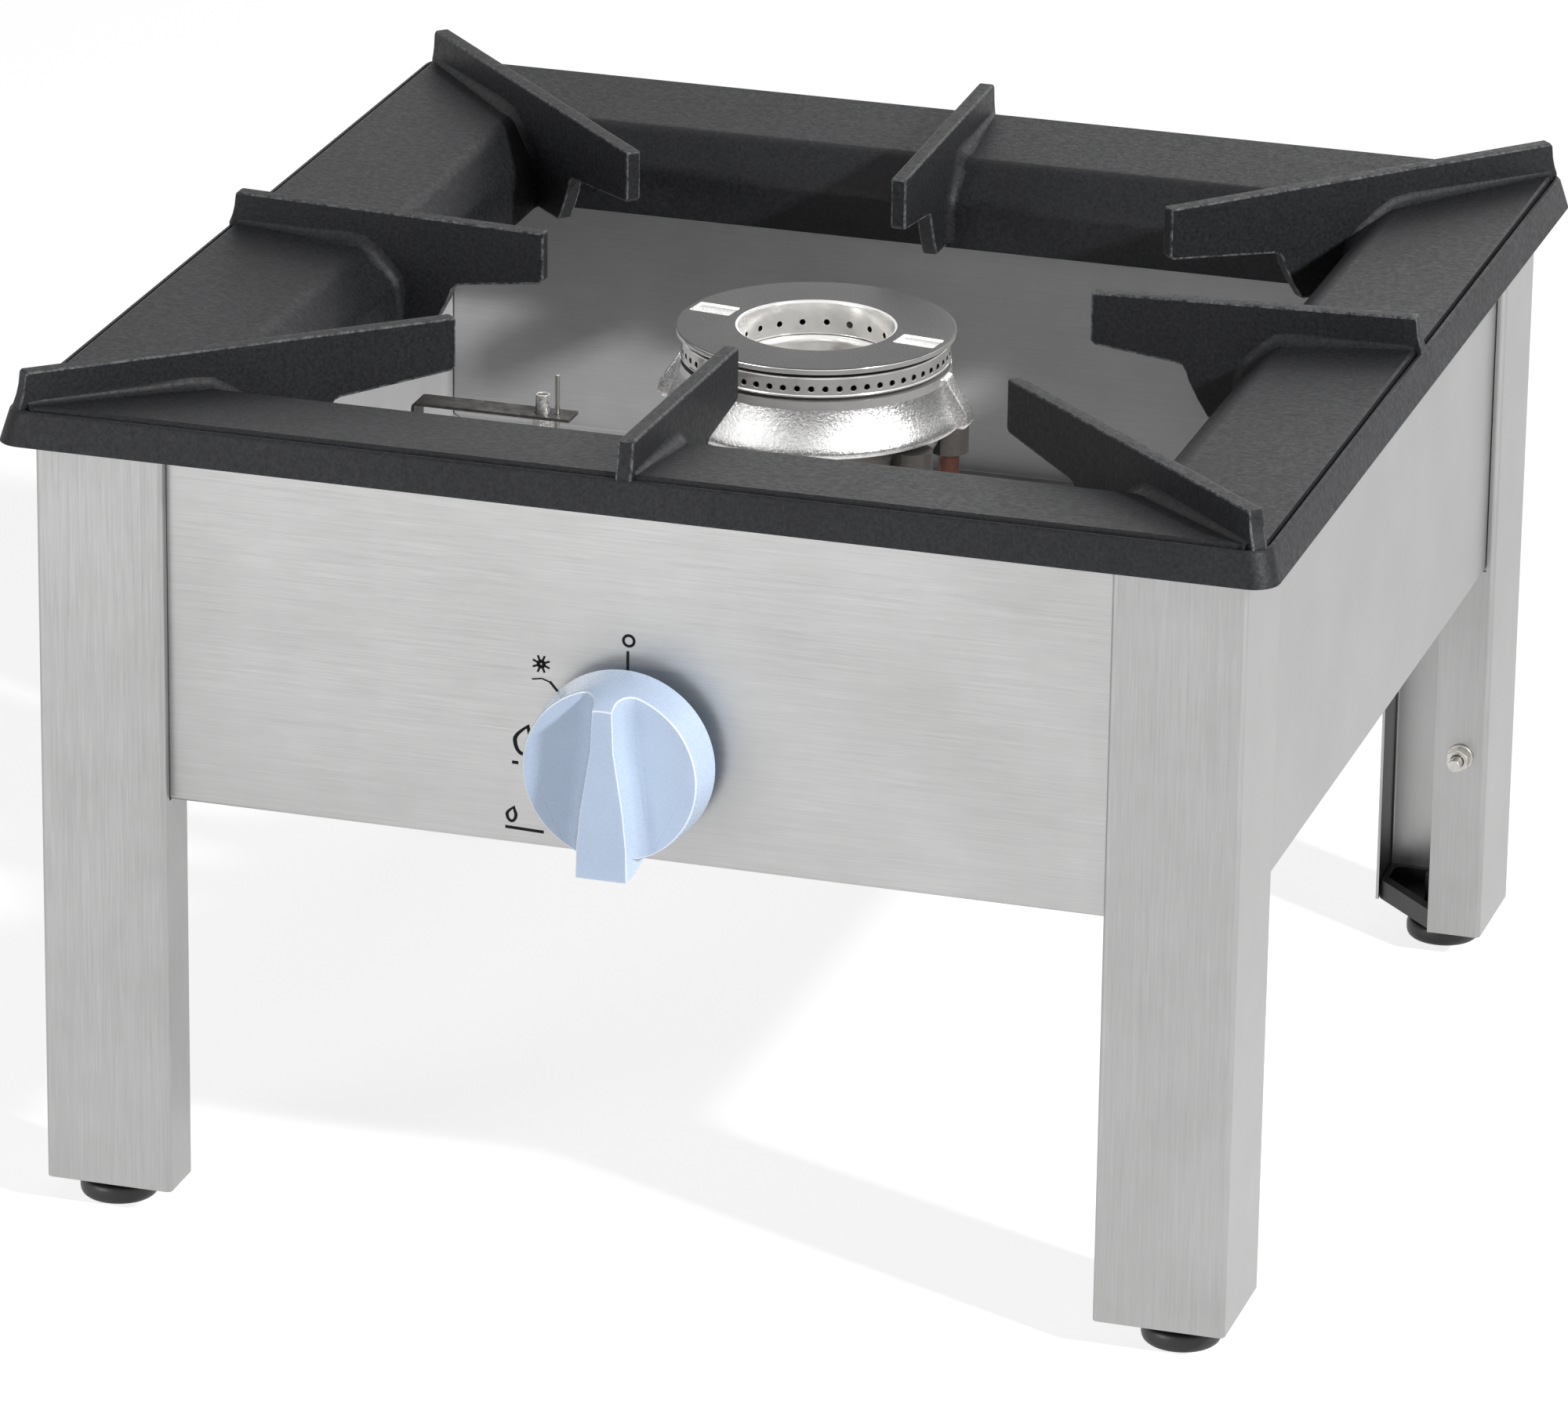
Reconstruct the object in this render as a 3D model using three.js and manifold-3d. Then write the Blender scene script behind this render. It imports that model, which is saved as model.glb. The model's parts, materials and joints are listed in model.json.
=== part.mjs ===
// A gas stock pot range: one burner under a cast-iron pan grate, in a low stainless frame on four legs.
// Millimetres, +Z up, the floor at z = 0, the knob at the front (-Y). The burner's axis is the Z axis.

import * as THREE from 'three';
import { mergeVertices } from 'three/addons/utils/BufferGeometryUtils.js';
import Module from 'manifold-3d';

const wasm = await Module();
wasm.setup();

// ---------------------------------------------------------------- driving dimensions

// Fits
const CLEARANCE = 0.3; // between pieces that rest on or pass through each other
const MITRE_GAP = 0.6; // from the diagonal to the mitred end of a panel

// Frame
const FOOT_HEIGHT = 14; // leg ends above the floor
const LEG_LENGTH = 355;
const LEG_FACE = 60;
const LEG_RETURN = 26; // the leg's inner folded edges
const SHEET = 1.5; // leg and panel steel
const FOLD_RADIUS = 2.6; // outside radius of a fold
const PANEL_HEIGHT = 166;
const PANEL_RECESS = 4.5; // panel face behind the leg faces
const PANEL_TOP_RETURN = 22;
const PANEL_BOTTOM_RETURN = 18;

// Feet
const FOOT_DIAMETER = 36;
const STUD_DIAMETER = 8;
const STUD_LENGTH = 34; // above the foot
const PLUG_HEIGHT = 10; // plastic plug in the end of a leg
const PLUG_WALL = 3;
const PLUG_BOSS_DIAMETER = 20;
const PLUG_BOSS_HEIGHT = 7;
const FOOT_OFFSET = 4.5; // a foot's centre nearer the outer corner than the leg's middle

// Grate casting
const GRATE_WIDTH = 580;
const GRATE_OVERHANG = 14.5; // past the outer faces of the legs
const RIM_OVERLAP = 1.3; // the rim's lower edge hangs below the top of the body
const RIM_HEIGHT = 17;
const RIM_DRAFT = 4; // how far the outer wall leans in
const LIP_WIDTH = 1.8;
const IRON = 6.5; // casting wall
const BAND_WIDTH = 71; // the dished top band, from the outer edge
const BAND_FALL = 4.5;
const SLOPE_WIDTH = 16; // the steeper step inside the band
const SLOPE_FALL = 16.5;
const APRON_DEPTH = 23; // the upright inner wall
const RIM_CORNER_RADIUS = 12;

// Grate fingers
const FINGER_THICKNESS = 7.4;
const FINGER_RISE = 15; // above the lip
const FINGER_FALL = 4.5; // the top edge falls this much from its outer end to its tip
const FINGER_SETBACK = 8; // outer end, inside the grate's outer edge
const CORNER_SETBACK = 11; // the same along each side, for a corner finger
const TIP_SPAN = 262; // between opposite finger tips
const TIP_DEPTH = 25;
const FINGER_EDGE = 0.9; // bevel on a finger's edges
const TIP_ROUND = 2; // rounding of a finger's tip
const END_ROUND = 1.5; // rounding of its outer end
const ARCH_START = 0.56; // of the way from the tip to the apron, where the underside turns down
const ARCH_FALL = 4.5; // the underside falls this much from the tip to there
const ARCH_REACH = 6; // then it curves down over this length
const ARCH_DROP = 8;
const ROOT_REACH = 16; // and runs straight down to the apron's lower edge
const SEAT_STEP = 4; // small slopes beside the rib that rests on the frame

// Burner
const BURNER_TOP = 31; // cap's top below the finger tips
const CAP_DIAMETER = 129;
const CAP_PLATE = 5;
const CAP_SKIRT = 11;
const CAP_BORE = 71;
const CAP_SKIRT_INSET = 2.2; // skirt inside the cap's edge
const CAP_WALL = 2.6;
const PORT_DIAMETER = 3;
const OUTER_PORTS = 60;
const INNER_PORTS = 20;
const CAP_SLOT_LENGTH = 20;
const CAP_SLOT_WIDTH = 13;
const CAP_SLOT_DEPTH = 1.4;
const CAP_SLOT_TURN = -8; // degrees round from the X axis
const BURNER_WALL = 4;
const BELL_HEIGHT = 25; // the flared skirt of the burner body
const BELL_FLARE = 7;
const BOWL_DEPTH = 23; // gas bowl below the bell
const BOWL_DIAMETER = 108;
const LUG_THICKNESS = 11; // the two ribs on the burner's sides
const LUG_REACH = 13;

// Burner support
const PILLAR_DIAMETER = 10;
const PILLAR_X = 56;
const PILLAR_Y = 30;
const SPIGOT_DIAMETER = 5;
const SPIGOT_LENGTH = 3;
const PAD_DIAMETER = 18; // under the burner, on each pillar
const RAIL_WIDTH = 22;
const RAIL_HEIGHT = 20;
const RAIL_SHEET = 2;

// Gas tap and knob
const TAP_HEIGHT = 50; // the spindle above the front panel's lower edge
const TAP_DIAMETER = 27;
const TAP_LENGTH = 44;
const COLLAR_DIAMETER = 18; // threaded neck behind the panel
const COLLAR_LENGTH = 9;
const PLUG_DIAMETER = 15; // the tap's turning plug
const PLUG_LENGTH = 26;
const PLUG_TAPER = 1.5; // off the radius at its far end
const PLUG_DRIVE_DEPTH = 6; // the spindle's reach into the plug
const TAP_FACE = 2; // metal in front of the plug
const GAS_WAY = 6; // bores through the tap and its plug
const PORT_REACH = 8; // side ports past the tap's barrel
const PORT_WALL = 2;
const PILOT_PORT_SHIFT = -8; // along the tap, from its middle
const PROBE_PORT_SHIFT = 9;
const SPINDLE_DIAMETER = 8;
const KNOB_STAND_OFF = 9.3; // knob's back in front of the panel
const KNOB_DIAMETER = 83;
const KNOB_FACE_DIAMETER = 80;
const KNOB_DISC = 23;
const GRIP_RISE = 10; // the grip bar in front of the disc
const GRIP_TOP_WIDTH = 10;
const GRIP_END_WIDTH = 24;
const GRIP_OVERHANG = 3.5; // its lower end past the disc
const KNOB_SOCKET_DEPTH = 16;
const GRIP_FLOOR = 4; // the grip's root, below the disc's face
const KNOB_TRAVEL = 4; // pressed in to light the burner

// Gas ways
const MIXER_BORE = 24;
const MIXER_WALL = 2.6;
const MIXER_MOUTH = 42;
const MIXER_FLANGE = 3;
const MIXER_FLARE = 14; // length of the flared mouth
const INJECTOR_DIAMETER = 12;
const INJECTOR_LENGTH = 16;
const INJECTOR_GAP = 9; // open air way from the injector to the mixer's mouth
const PIPE_DIAMETER = 12;
const PIPE_X = 145; // the supply pipe's place
const PIPE_LIFT = 9; // its middle above the rails
const PIPE_BEND = 26;
const PIPE_OUT = 34; // sideways run before the pipe turns back
const PIPE_TURN = 14; // from the tap's middle to the end of that turn
const PIPE_LEVEL = 70; // and to where it has come down to its level
const INLET_STUB = 26; // gas inlet inside the rear panel
const INLET_WALL = 3.5;
const INLET_DIAMETER = 21; // the half-inch thread
const INLET_HEX = 30; // across flats
const INLET_HEX_THICKNESS = 8;

// Pilot
const PILOT_X = 122; // left of the middle
const PILOT_HEIGHT = 93; // bracket's top above the rails
const PILOT_BRACKET_LENGTH = 77;
const PILOT_BRACKET_WIDTH = 14;
const PILOT_DIAMETER = 7;
const PILOT_RISE = 9;
const PROBE_DIAMETER = 2.4;
const PROBE_RISE = 19;
const PROBE_OFFSET = 7; // the probe beside the pilot
const PILOT_BELOW = 14; // pilot and probe below the bracket's arm
const BRACKET_END = 8; // the arm past the probe
const BRACKET_FOOT = 22;
const PILOT_TUBE_DIAMETER = 5;
const LEAD_DIAMETER = 3;

// Earth bolt on the rear right leg
const EARTH_HEIGHT = 107;
const EARTH_DIAMETER = 6;
const EARTH_LENGTH = 17;
const EARTH_HEAD = 10; // across flats
const EARTH_HEAD_THICKNESS = 4;
const EARTH_NUT_THICKNESS = 5;
const EARTH_WASHER_DIAMETER = 13;
const EARTH_WASHER_THICKNESS = 1.2;

// Facets of round pieces and bends
const LARGE_ROUND = 28;
const ROUND = 16;
const SMALL_ROUND = 12;
const THREAD_ROUND = 24;
const HEXAGON = 6;
const BEND_STEPS = 4;
const CORNER_STEPS = 4;

// ---------------------------------------------------------------- derived places

const bodyTop = FOOT_HEIGHT + LEG_LENGTH;
const grateHalf = GRATE_WIDTH / 2;
const bodyHalf = grateHalf - GRATE_OVERHANG; // outer faces of the legs, from the middle
const panelFace = bodyHalf - PANEL_RECESS; // panels pass behind the leg faces
const panelInside = panelFace - SHEET;
const panelBottom = bodyTop - PANEL_HEIGHT;

const seat = bodyTop + CLEARANCE; // the grate's ribs rest here
const rimBottom = bodyTop - RIM_OVERLAP + CLEARANCE;
const lipTop = rimBottom + RIM_HEIGHT;
const bandInner = grateHalf - BAND_WIDTH;
const bandInnerZ = lipTop - BAND_FALL;
const slopeInner = bandInner - SLOPE_WIDTH;
const slopeInnerZ = bandInnerZ - SLOPE_FALL;
const apronBottom = slopeInnerZ - APRON_DEPTH;
const fingerTop = lipTop + FINGER_RISE;
const tipTop = fingerTop - FINGER_FALL;
const tipReach = TIP_SPAN / 2;

const capTop = tipTop - BURNER_TOP;
const capBottom = capTop - CAP_PLATE - CAP_SKIRT;
const bellTop = capBottom - CLEARANCE;
const bellBottom = bellTop - BELL_HEIGHT;
const bowlBottom = bellBottom - BOWL_DEPTH;
const skirtRadius = CAP_DIAMETER / 2 - CAP_SKIRT_INSET;
const boreRadius = CAP_BORE / 2;

const railBottom = panelBottom + SHEET + CLEARANCE;
const railTop = railBottom + RAIL_HEIGHT;
const tapZ = panelBottom + TAP_HEIGHT;
const knobBack = -(panelFace + KNOB_STAND_OFF);
const knobFront = knobBack - KNOB_DISC - GRIP_RISE;
const tapFront = -(panelInside - CLEARANCE);
const tapBodyFront = tapFront + COLLAR_LENGTH;
const tapBack = tapBodyFront + TAP_LENGTH;
const injectorTip = tapBack + CLEARANCE + INJECTOR_LENGTH;
const mixerMouth = injectorTip + INJECTOR_GAP;
const mixerInletY = -(boreRadius + skirtRadius) / 2; // middle of the gas bowl's ring
const pipeZ = railTop + PIPE_LIFT;

// ---------------------------------------------------------------- materials

function finish(color, roughness, metalness) {
  return new THREE.MeshStandardMaterial({ color, roughness, metalness });
}

const castIron = finish(0x2b2d30, 0.75, 0.2);
const brushedSteel = finish(0xb9babb, 0.38, 0.9);
const innerSteel = finish(0x9fa1a3, 0.45, 0.9);
const nickel = finish(0xd8d6d0, 0.22, 1.0);
const brass = finish(0xb9974f, 0.35, 1.0);
const copper = finish(0xa9705a, 0.4, 1.0);
const zincSteel = finish(0xc2c2bd, 0.35, 0.9);
const darkSteel = finish(0x4a4a4c, 0.5, 0.8);
const blackPlastic = finish(0x141415, 0.5, 0);
const bluePlastic = finish(0x9fb4d3, 0.3, 0);

// ---------------------------------------------------------------- shape helpers

const degrees = Math.PI / 180;

// A closed geometry as a solid for joining and cutting.
function toSolid(geometry) {
  const bare = geometry.index ? geometry.toNonIndexed() : geometry.clone();
  for (const name of Object.keys(bare.attributes)) {
    if (name !== 'position') bare.deleteAttribute(name);
  }
  const merged = mergeVertices(bare, 1e-4);
  const mesh = new wasm.Mesh({
    numProp: 3,
    vertProperties: new Float32Array(merged.attributes.position.array),
    triVerts: new Uint32Array(merged.index.array),
  });
  return new wasm.Manifold(mesh);
}

// A solid back as a geometry.
function toGeometry(solid) {
  const mesh = solid.getMesh();
  const geometry = new THREE.BufferGeometry();
  geometry.setAttribute('position', new THREE.BufferAttribute(mesh.vertProperties, 3));
  geometry.setIndex(new THREE.BufferAttribute(mesh.triVerts, 1));
  geometry.computeVertexNormals();
  return geometry;
}

function joined(...solids) {
  return solids.reduce((all, next) => all.add(next));
}

function cut(solid, ...tools) {
  return tools.reduce((rest, tool) => rest.subtract(tool), solid);
}

// An outline of [a, b] points as a Shape.
function outline(points) {
  return new THREE.Shape(points.map(([a, b]) => new THREE.Vector2(a, b)));
}

// A round bar along +Z from z0 to z1, at x, y.
function barZ(radius, z0, z1, x = 0, y = 0, sides = SMALL_ROUND) {
  const geometry = new THREE.CylinderGeometry(radius, radius, z1 - z0, sides);
  geometry.rotateX(Math.PI / 2);
  return geometry.translate(x, y, (z0 + z1) / 2);
}

// A round bar along +Y from y0 to y1, at x, z; the radius may differ at the far end.
function barY(radius, y0, y1, x = 0, z = 0, sides = SMALL_ROUND, farRadius = radius) {
  const geometry = new THREE.CylinderGeometry(farRadius, radius, y1 - y0, sides);
  return geometry.translate(x, (y0 + y1) / 2, z);
}

// A round bar along +X from x0 to x1, at y, z.
function barX(radius, x0, x1, y = 0, z = 0, sides = SMALL_ROUND) {
  const geometry = new THREE.CylinderGeometry(radius, radius, x1 - x0, sides);
  geometry.rotateZ(-Math.PI / 2);
  return geometry.translate((x0 + x1) / 2, y, z);
}

function block(x0, x1, y0, y1, z0, z1) {
  const geometry = new THREE.BoxGeometry(x1 - x0, y1 - y0, z1 - z0);
  return geometry.translate((x0 + x1) / 2, (y0 + y1) / 2, (z0 + z1) / 2);
}

// A solid of revolution about Z from [radius, z] points. A ring's profile closes on itself.
function turned(profile, sides = ROUND) {
  const points = profile.map(([radius, z]) => new THREE.Vector2(radius, z));
  if (profile[0][0] > 0) points.push(points[0].clone());
  return toSolid(new THREE.LatheGeometry(points, sides).rotateX(Math.PI / 2));
}

// Points of a rounded square of the given half width, anticlockwise, the same count for every size.
function roundedSquare(half, radius, steps = CORNER_STEPS) {
  const points = [];
  for (let corner = 0; corner < 4; corner += 1) {
    const middle = (corner + 0.5) * 90 * degrees;
    const centre = (half - radius) * Math.SQRT2;
    for (let i = 0; i <= steps; i += 1) {
      const angle = (corner * 90 + (i * 90) / steps) * degrees;
      const x = centre * Math.cos(middle) + radius * Math.cos(angle);
      const y = centre * Math.sin(middle) + radius * Math.sin(angle);
      points.push([x, y]);
    }
  }
  return points;
}

// Joins rings of equal count into one closed surface; the last ring meets the first.
function ringLoop(rings) {
  const positions = rings.flat(2);
  const count = rings[0].length;
  const index = [];
  for (let r = 0; r < rings.length; r += 1) {
    const next = (r + 1) % rings.length;
    for (let i = 0; i < count; i += 1) {
      const j = (i + 1) % count;
      const a = r * count + i;
      const b = r * count + j;
      const c = next * count + j;
      const d = next * count + i;
      index.push(a, b, c, a, c, d);
    }
  }
  const geometry = new THREE.BufferGeometry();
  geometry.setAttribute('position', new THREE.Float32BufferAttribute(positions, 3));
  geometry.setIndex(index);
  return geometry;
}

// Joins rings of equal count into a solid with flat ends; each ring is an outline at its own level.
function stacked(rings) {
  const count = rings[0].length;
  const positions = rings.flat(2);
  const index = [];
  for (let r = 0; r + 1 < rings.length; r += 1) {
    for (let i = 0; i < count; i += 1) {
      const j = (i + 1) % count;
      const a = r * count + i;
      const b = r * count + j;
      const c = (r + 1) * count + j;
      const d = (r + 1) * count + i;
      index.push(a, b, c, a, c, d);
    }
  }
  const last = (rings.length - 1) * count;
  const flat = rings[0].map(([x, y]) => new THREE.Vector2(x, y));
  for (const [a, b, c] of THREE.ShapeUtils.triangulateShape(flat, [])) {
    index.push(c, b, a, last + a, last + b, last + c);
  }
  const geometry = new THREE.BufferGeometry();
  geometry.setAttribute('position', new THREE.Float32BufferAttribute(positions, 3));
  geometry.setIndex(index);
  return geometry;
}

// Offsets a folded line sideways: each fold gets a round corner, for one face of a folded sheet.
function foldFace(line, offset, radiusLeft, radiusRight) {
  const face = [];
  for (let i = 0; i < line.length; i += 1) {
    const here = new THREE.Vector2(...line[i]);
    const before = i > 0 ? new THREE.Vector2(...line[i - 1]) : null;
    const after = i + 1 < line.length ? new THREE.Vector2(...line[i + 1]) : null;
    const into = before ? here.clone().sub(before).normalize() : null;
    const out = after ? after.clone().sub(here).normalize() : null;
    if (!into || !out) {
      const along = into || out;
      face.push([here.x - along.y * offset, here.y + along.x * offset]);
      continue;
    }
    const turn = Math.sign(into.cross(out)); // +1 for a fold to the left
    const radius = turn > 0 ? radiusLeft : radiusRight;
    const corner = here.clone();
    corner.add(new THREE.Vector2(-into.y, into.x).multiplyScalar(offset));
    corner.add(new THREE.Vector2(-out.y, out.x).multiplyScalar(offset));
    const start = corner.clone().addScaledVector(into, -radius);
    const centre = start.clone().add(new THREE.Vector2(-into.y, into.x).multiplyScalar(turn * radius));
    for (const share of [0, 1 / 3, 2 / 3, 1]) {
      const ray = start.clone().sub(centre).rotateAround(new THREE.Vector2(), (turn * share * Math.PI) / 2);
      face.push([centre.x + ray.x, centre.y + ray.y]);
    }
  }
  return face;
}

// The section of a sheet folded at right angles; the line runs along its right-hand face.
function folded(line, sheet = SHEET, radius = FOLD_RADIUS) {
  const inner = Math.max(radius - sheet, 0.2);
  const right = foldFace(line, 0, radius, inner);
  const left = foldFace(line, sheet, inner, radius);
  return outline([...right, ...left.reverse()]);
}

// A section in the XY plane, drawn up from z0 to z1.
function raised(shape, z0, z1) {
  const geometry = new THREE.ExtrudeGeometry(shape, { depth: z1 - z0, bevelEnabled: false });
  return geometry.translate(0, 0, z0);
}

// A section of [y, z] points, drawn along X from x0 to x1.
function drawnX(shape, x0, x1) {
  const geometry = new THREE.ExtrudeGeometry(shape, { depth: x1 - x0, bevelEnabled: false });
  geometry.applyMatrix4(new THREE.Matrix4().set(0, 0, 1, x0, 1, 0, 0, 0, 0, 1, 0, 0, 0, 0, 0, 1));
  return geometry;
}

// A hexagon's bar along Y, sized across its flats.
function hexY(flats, y0, y1, x, z) {
  return barY(flats / Math.sqrt(3), y0, y1, x, z, HEXAGON);
}

// A route of straight stretches and round bends. It is read only at its stations: the two ends,
// and a few places round each bend, so that straight stretches stay plain.
class PipeRoute extends THREE.Curve {
  constructor(points, radius) {
    super();
    this.stations = [];
    const last = points.length - 1;
    this.addStation(points[0], points[1].clone().sub(points[0]));
    for (let i = 1; i < last; i += 1) {
      const back = points[i - 1].clone().sub(points[i]);
      const ahead = points[i + 1].clone().sub(points[i]);
      const reach = Math.min(radius, back.length() * 0.49, ahead.length() * 0.49);
      const start = points[i].clone().addScaledVector(back.normalize(), reach);
      const end = points[i].clone().addScaledVector(ahead.normalize(), reach);
      const bend = new THREE.QuadraticBezierCurve3(start, points[i], end);
      for (let step = 0; step <= BEND_STEPS; step += 1) {
        const t = step / BEND_STEPS;
        this.addStation(bend.getPoint(t), bend.getTangent(t));
      }
    }
    this.addStation(points[last], points[last].clone().sub(points[last - 1]));
  }

  addStation(point, direction) {
    this.stations.push({ point: point.clone(), direction: direction.clone().normalize() });
  }

  station(share) {
    return this.stations[Math.round(share * (this.stations.length - 1))];
  }

  getPointAt(share) {
    return this.station(share).point.clone();
  }

  getTangentAt(share) {
    return this.station(share).direction.clone();
  }
}

// A round pipe or rod along a route through the given [x, y, z] points.
function piped(points, bend, diameter, sides) {
  const route = new PipeRoute(points.map((point) => new THREE.Vector3(...point)), bend);
  const section = new THREE.Shape();
  section.absarc(0, 0, diameter / 2, 0, 2 * Math.PI, false);
  const options = {
    steps: route.stations.length - 1,
    extrudePath: route,
    bevelEnabled: false,
    curveSegments: sides / 2,
  };
  return toSolid(new THREE.ExtrudeGeometry(section, options));
}

const range = new THREE.Group();

function place(name, solid, material) {
  const geometry = solid instanceof THREE.BufferGeometry ? solid : toGeometry(solid);
  const mesh = new THREE.Mesh(geometry, material);
  mesh.name = name;
  range.add(mesh);
  return mesh;
}

// The four corners: name, and the signs of x and y.
const corners = [
  ['front_left', -1, -1],
  ['front_right', 1, -1],
  ['rear_left', -1, 1],
  ['rear_right', 1, 1],
];

// Turns a piece made for the front left corner to another corner, about the Z axis.
function cornerTurn(signX, signY) {
  if (signX < 0 && signY < 0) return 0;
  if (signX > 0 && signY < 0) return 90;
  return signX > 0 ? 180 : 270;
}

// ---------------------------------------------------------------- frame

// One folded leg at the front left: two full faces outside, and below the panels two narrow returns inside
// and an open corner. Beside the panels the returns are cut short, so that the leg wraps the box.
function legSolid() {
  const far = -bodyHalf;
  const near = -bodyHalf + LEG_FACE;
  const back = -bodyHalf + LEG_RETURN;
  const faces = [[far, near], [far, far], [near, far]];
  const notch = panelBottom - CLEARANCE;
  const lower = raised(folded([[back, near], ...faces, [near, back]]), FOOT_HEIGHT, notch);
  const short = far + PANEL_RECESS - CLEARANCE;
  const upper = raised(folded([[short, near], ...faces, [near, short]]), notch, bodyTop);
  return joined(toSolid(lower), toSolid(upper));
}

function makeLegs() {
  for (const [name, signX, signY] of corners) {
    let leg = legSolid().rotate([0, 0, cornerTurn(signX, signY)]);
    if (name === 'rear_right') {
      const hole = barY(EARTH_DIAMETER / 2 + CLEARANCE, -LEG_RETURN, LEG_RETURN, earthX, EARTH_HEIGHT);
      leg = cut(leg, toSolid(hole.translate(0, earthFace, 0)));
    }
    place(`leg_${name}`, leg, brushedSteel);
  }
}

// One side of the box: a face from corner to corner, a top and a bottom return, and mitred ends.
function panelSolid() {
  const face = -panelFace;
  const profile = [
    [face + PANEL_TOP_RETURN, bodyTop],
    [face, bodyTop],
    [face, panelBottom],
    [face + PANEL_BOTTOM_RETURN, panelBottom],
  ];
  const sheet = toSolid(drawnX(folded(profile), -panelFace, panelFace));
  const reach = panelFace - MITRE_GAP;
  const mitre = toSolid(raised(outline([
    [-reach, face],
    [reach, face],
    [reach - PANEL_TOP_RETURN, face + PANEL_TOP_RETURN],
    [-reach + PANEL_TOP_RETURN, face + PANEL_TOP_RETURN],
  ]), panelBottom, bodyTop));
  return sheet.intersect(mitre);
}

function makePanels() {
  const front = cut(
    panelSolid(),
    toSolid(barY(SPINDLE_DIAMETER / 2 + 2 * CLEARANCE, -bodyHalf, -panelInside + 1, 0, tapZ)),
  );
  const rear = cut(
    panelSolid().rotate([0, 0, 180]),
    toSolid(barY(INLET_DIAMETER / 2 + CLEARANCE, panelInside - 1, bodyHalf, PIPE_X, pipeZ, THREAD_ROUND)),
  );
  place('front_panel', front, brushedSteel);
  place('rear_panel', rear, brushedSteel);
  place('right_panel', panelSolid().rotate([0, 0, 90]), brushedSteel);
  place('left_panel', panelSolid().rotate([0, 0, 270]), brushedSteel);
}

// ---------------------------------------------------------------- feet

const legMiddle = bodyHalf - LEG_FACE / 2;
const footX = legMiddle + FOOT_OFFSET;
const studHole = STUD_DIAMETER / 2 + CLEARANCE;
const footFloor = FOOT_HEIGHT * 0.3; // the bottom of the foot's socket

// A moulded puck with a socket for the stud.
function footSolid() {
  const radius = FOOT_DIAMETER / 2;
  const top = FOOT_HEIGHT - CLEARANCE;
  const puck = turned([
    [0, 0],
    [radius * 0.93, 0],
    [radius, top * 0.16],
    [radius, top * 0.5],
    [radius * 0.62, top * 0.8],
    [radius * 0.58, top],
    [0, top],
  ]);
  return cut(puck, toSolid(barZ(studHole, footFloor, top + 1)));
}

// A plan of the front left plug: a square whose inner corner is cut off between the leg's two returns.
function plugPlan(inset) {
  const half = LEG_FACE / 2 - SHEET - CLEARANCE - inset;
  const cutOff = LEG_FACE - LEG_RETURN + 0.4 * inset;
  const low = -legMiddle - half;
  const high = -legMiddle + half;
  return [
    [low + FOLD_RADIUS, low],
    [high - FOLD_RADIUS, low],
    [high, low + FOLD_RADIUS],
    [high, high - cutOff],
    [high - cutOff, high],
    [low + FOLD_RADIUS, high],
    [low, high - FOLD_RADIUS],
    [low, low + FOLD_RADIUS],
  ];
}

// The plug in a leg's end: a hollow slab with a boss round the stud.
function legPlugSolid() {
  const slabTop = FOOT_HEIGHT + PLUG_HEIGHT;
  const bossTop = slabTop + PLUG_BOSS_HEIGHT;
  const slab = toSolid(raised(outline(plugPlan(0)), FOOT_HEIGHT, slabTop));
  const pocket = toSolid(raised(outline(plugPlan(PLUG_WALL)), FOOT_HEIGHT + PLUG_WALL, slabTop + 1));
  const boss = barZ(PLUG_BOSS_DIAMETER / 2, FOOT_HEIGHT + PLUG_WALL / 2, bossTop, -footX, -footX);
  const hole = barZ(studHole, FOOT_HEIGHT - 1, bossTop + 1, -footX, -footX);
  return cut(joined(cut(slab, pocket), toSolid(boss)), toSolid(hole));
}

function makeFeet() {
  const foot = footSolid();
  const plug = legPlugSolid();
  const stud = toSolid(barZ(STUD_DIAMETER / 2, footFloor + CLEARANCE, FOOT_HEIGHT + STUD_LENGTH));
  for (const [name, signX, signY] of corners) {
    const spot = [signX * footX, signY * footX, 0];
    place(`foot_${name}`, foot.translate(spot), blackPlastic);
    place(`foot_stud_${name}`, stud.translate(spot), zincSteel);
    place(`leg_plug_${name}`, plug.rotate([0, 0, cornerTurn(signX, signY)]), blackPlastic);
  }
}

// ---------------------------------------------------------------- grate

// The rim's section as [half width, height, corner radius], round the casting.
function rimSection() {
  const wallTop = grateHalf - RIM_DRAFT;
  const lip = wallTop - LIP_WIDTH;
  const radius = RIM_CORNER_RADIUS;
  return [
    [grateHalf, rimBottom, radius],
    [wallTop, lipTop - LIP_WIDTH, radius - 2],
    [lip, lipTop, radius - 3],
    [bandInner, bandInnerZ, radius - 4],
    [slopeInner, slopeInnerZ, radius - 5],
    [slopeInner - 1, apronBottom, radius - 6],
    [slopeInner + IRON - 1.5, apronBottom, radius - 5],
    [slopeInner + IRON, slopeInnerZ - IRON / 3, radius - 4],
    [bandInner + IRON / 2, bandInnerZ - IRON, radius - 3],
    [wallTop - IRON, lipTop - IRON - LIP_WIDTH, radius - 2],
    [grateHalf - IRON, rimBottom, radius - 1],
  ];
}

function rimSolid() {
  const rings = rimSection().map(([half, z, radius]) =>
    roundedSquare(half, Math.max(radius, 1)).map(([x, y]) => [x, y, z]));
  return toSolid(ringLoop(rings));
}

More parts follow.
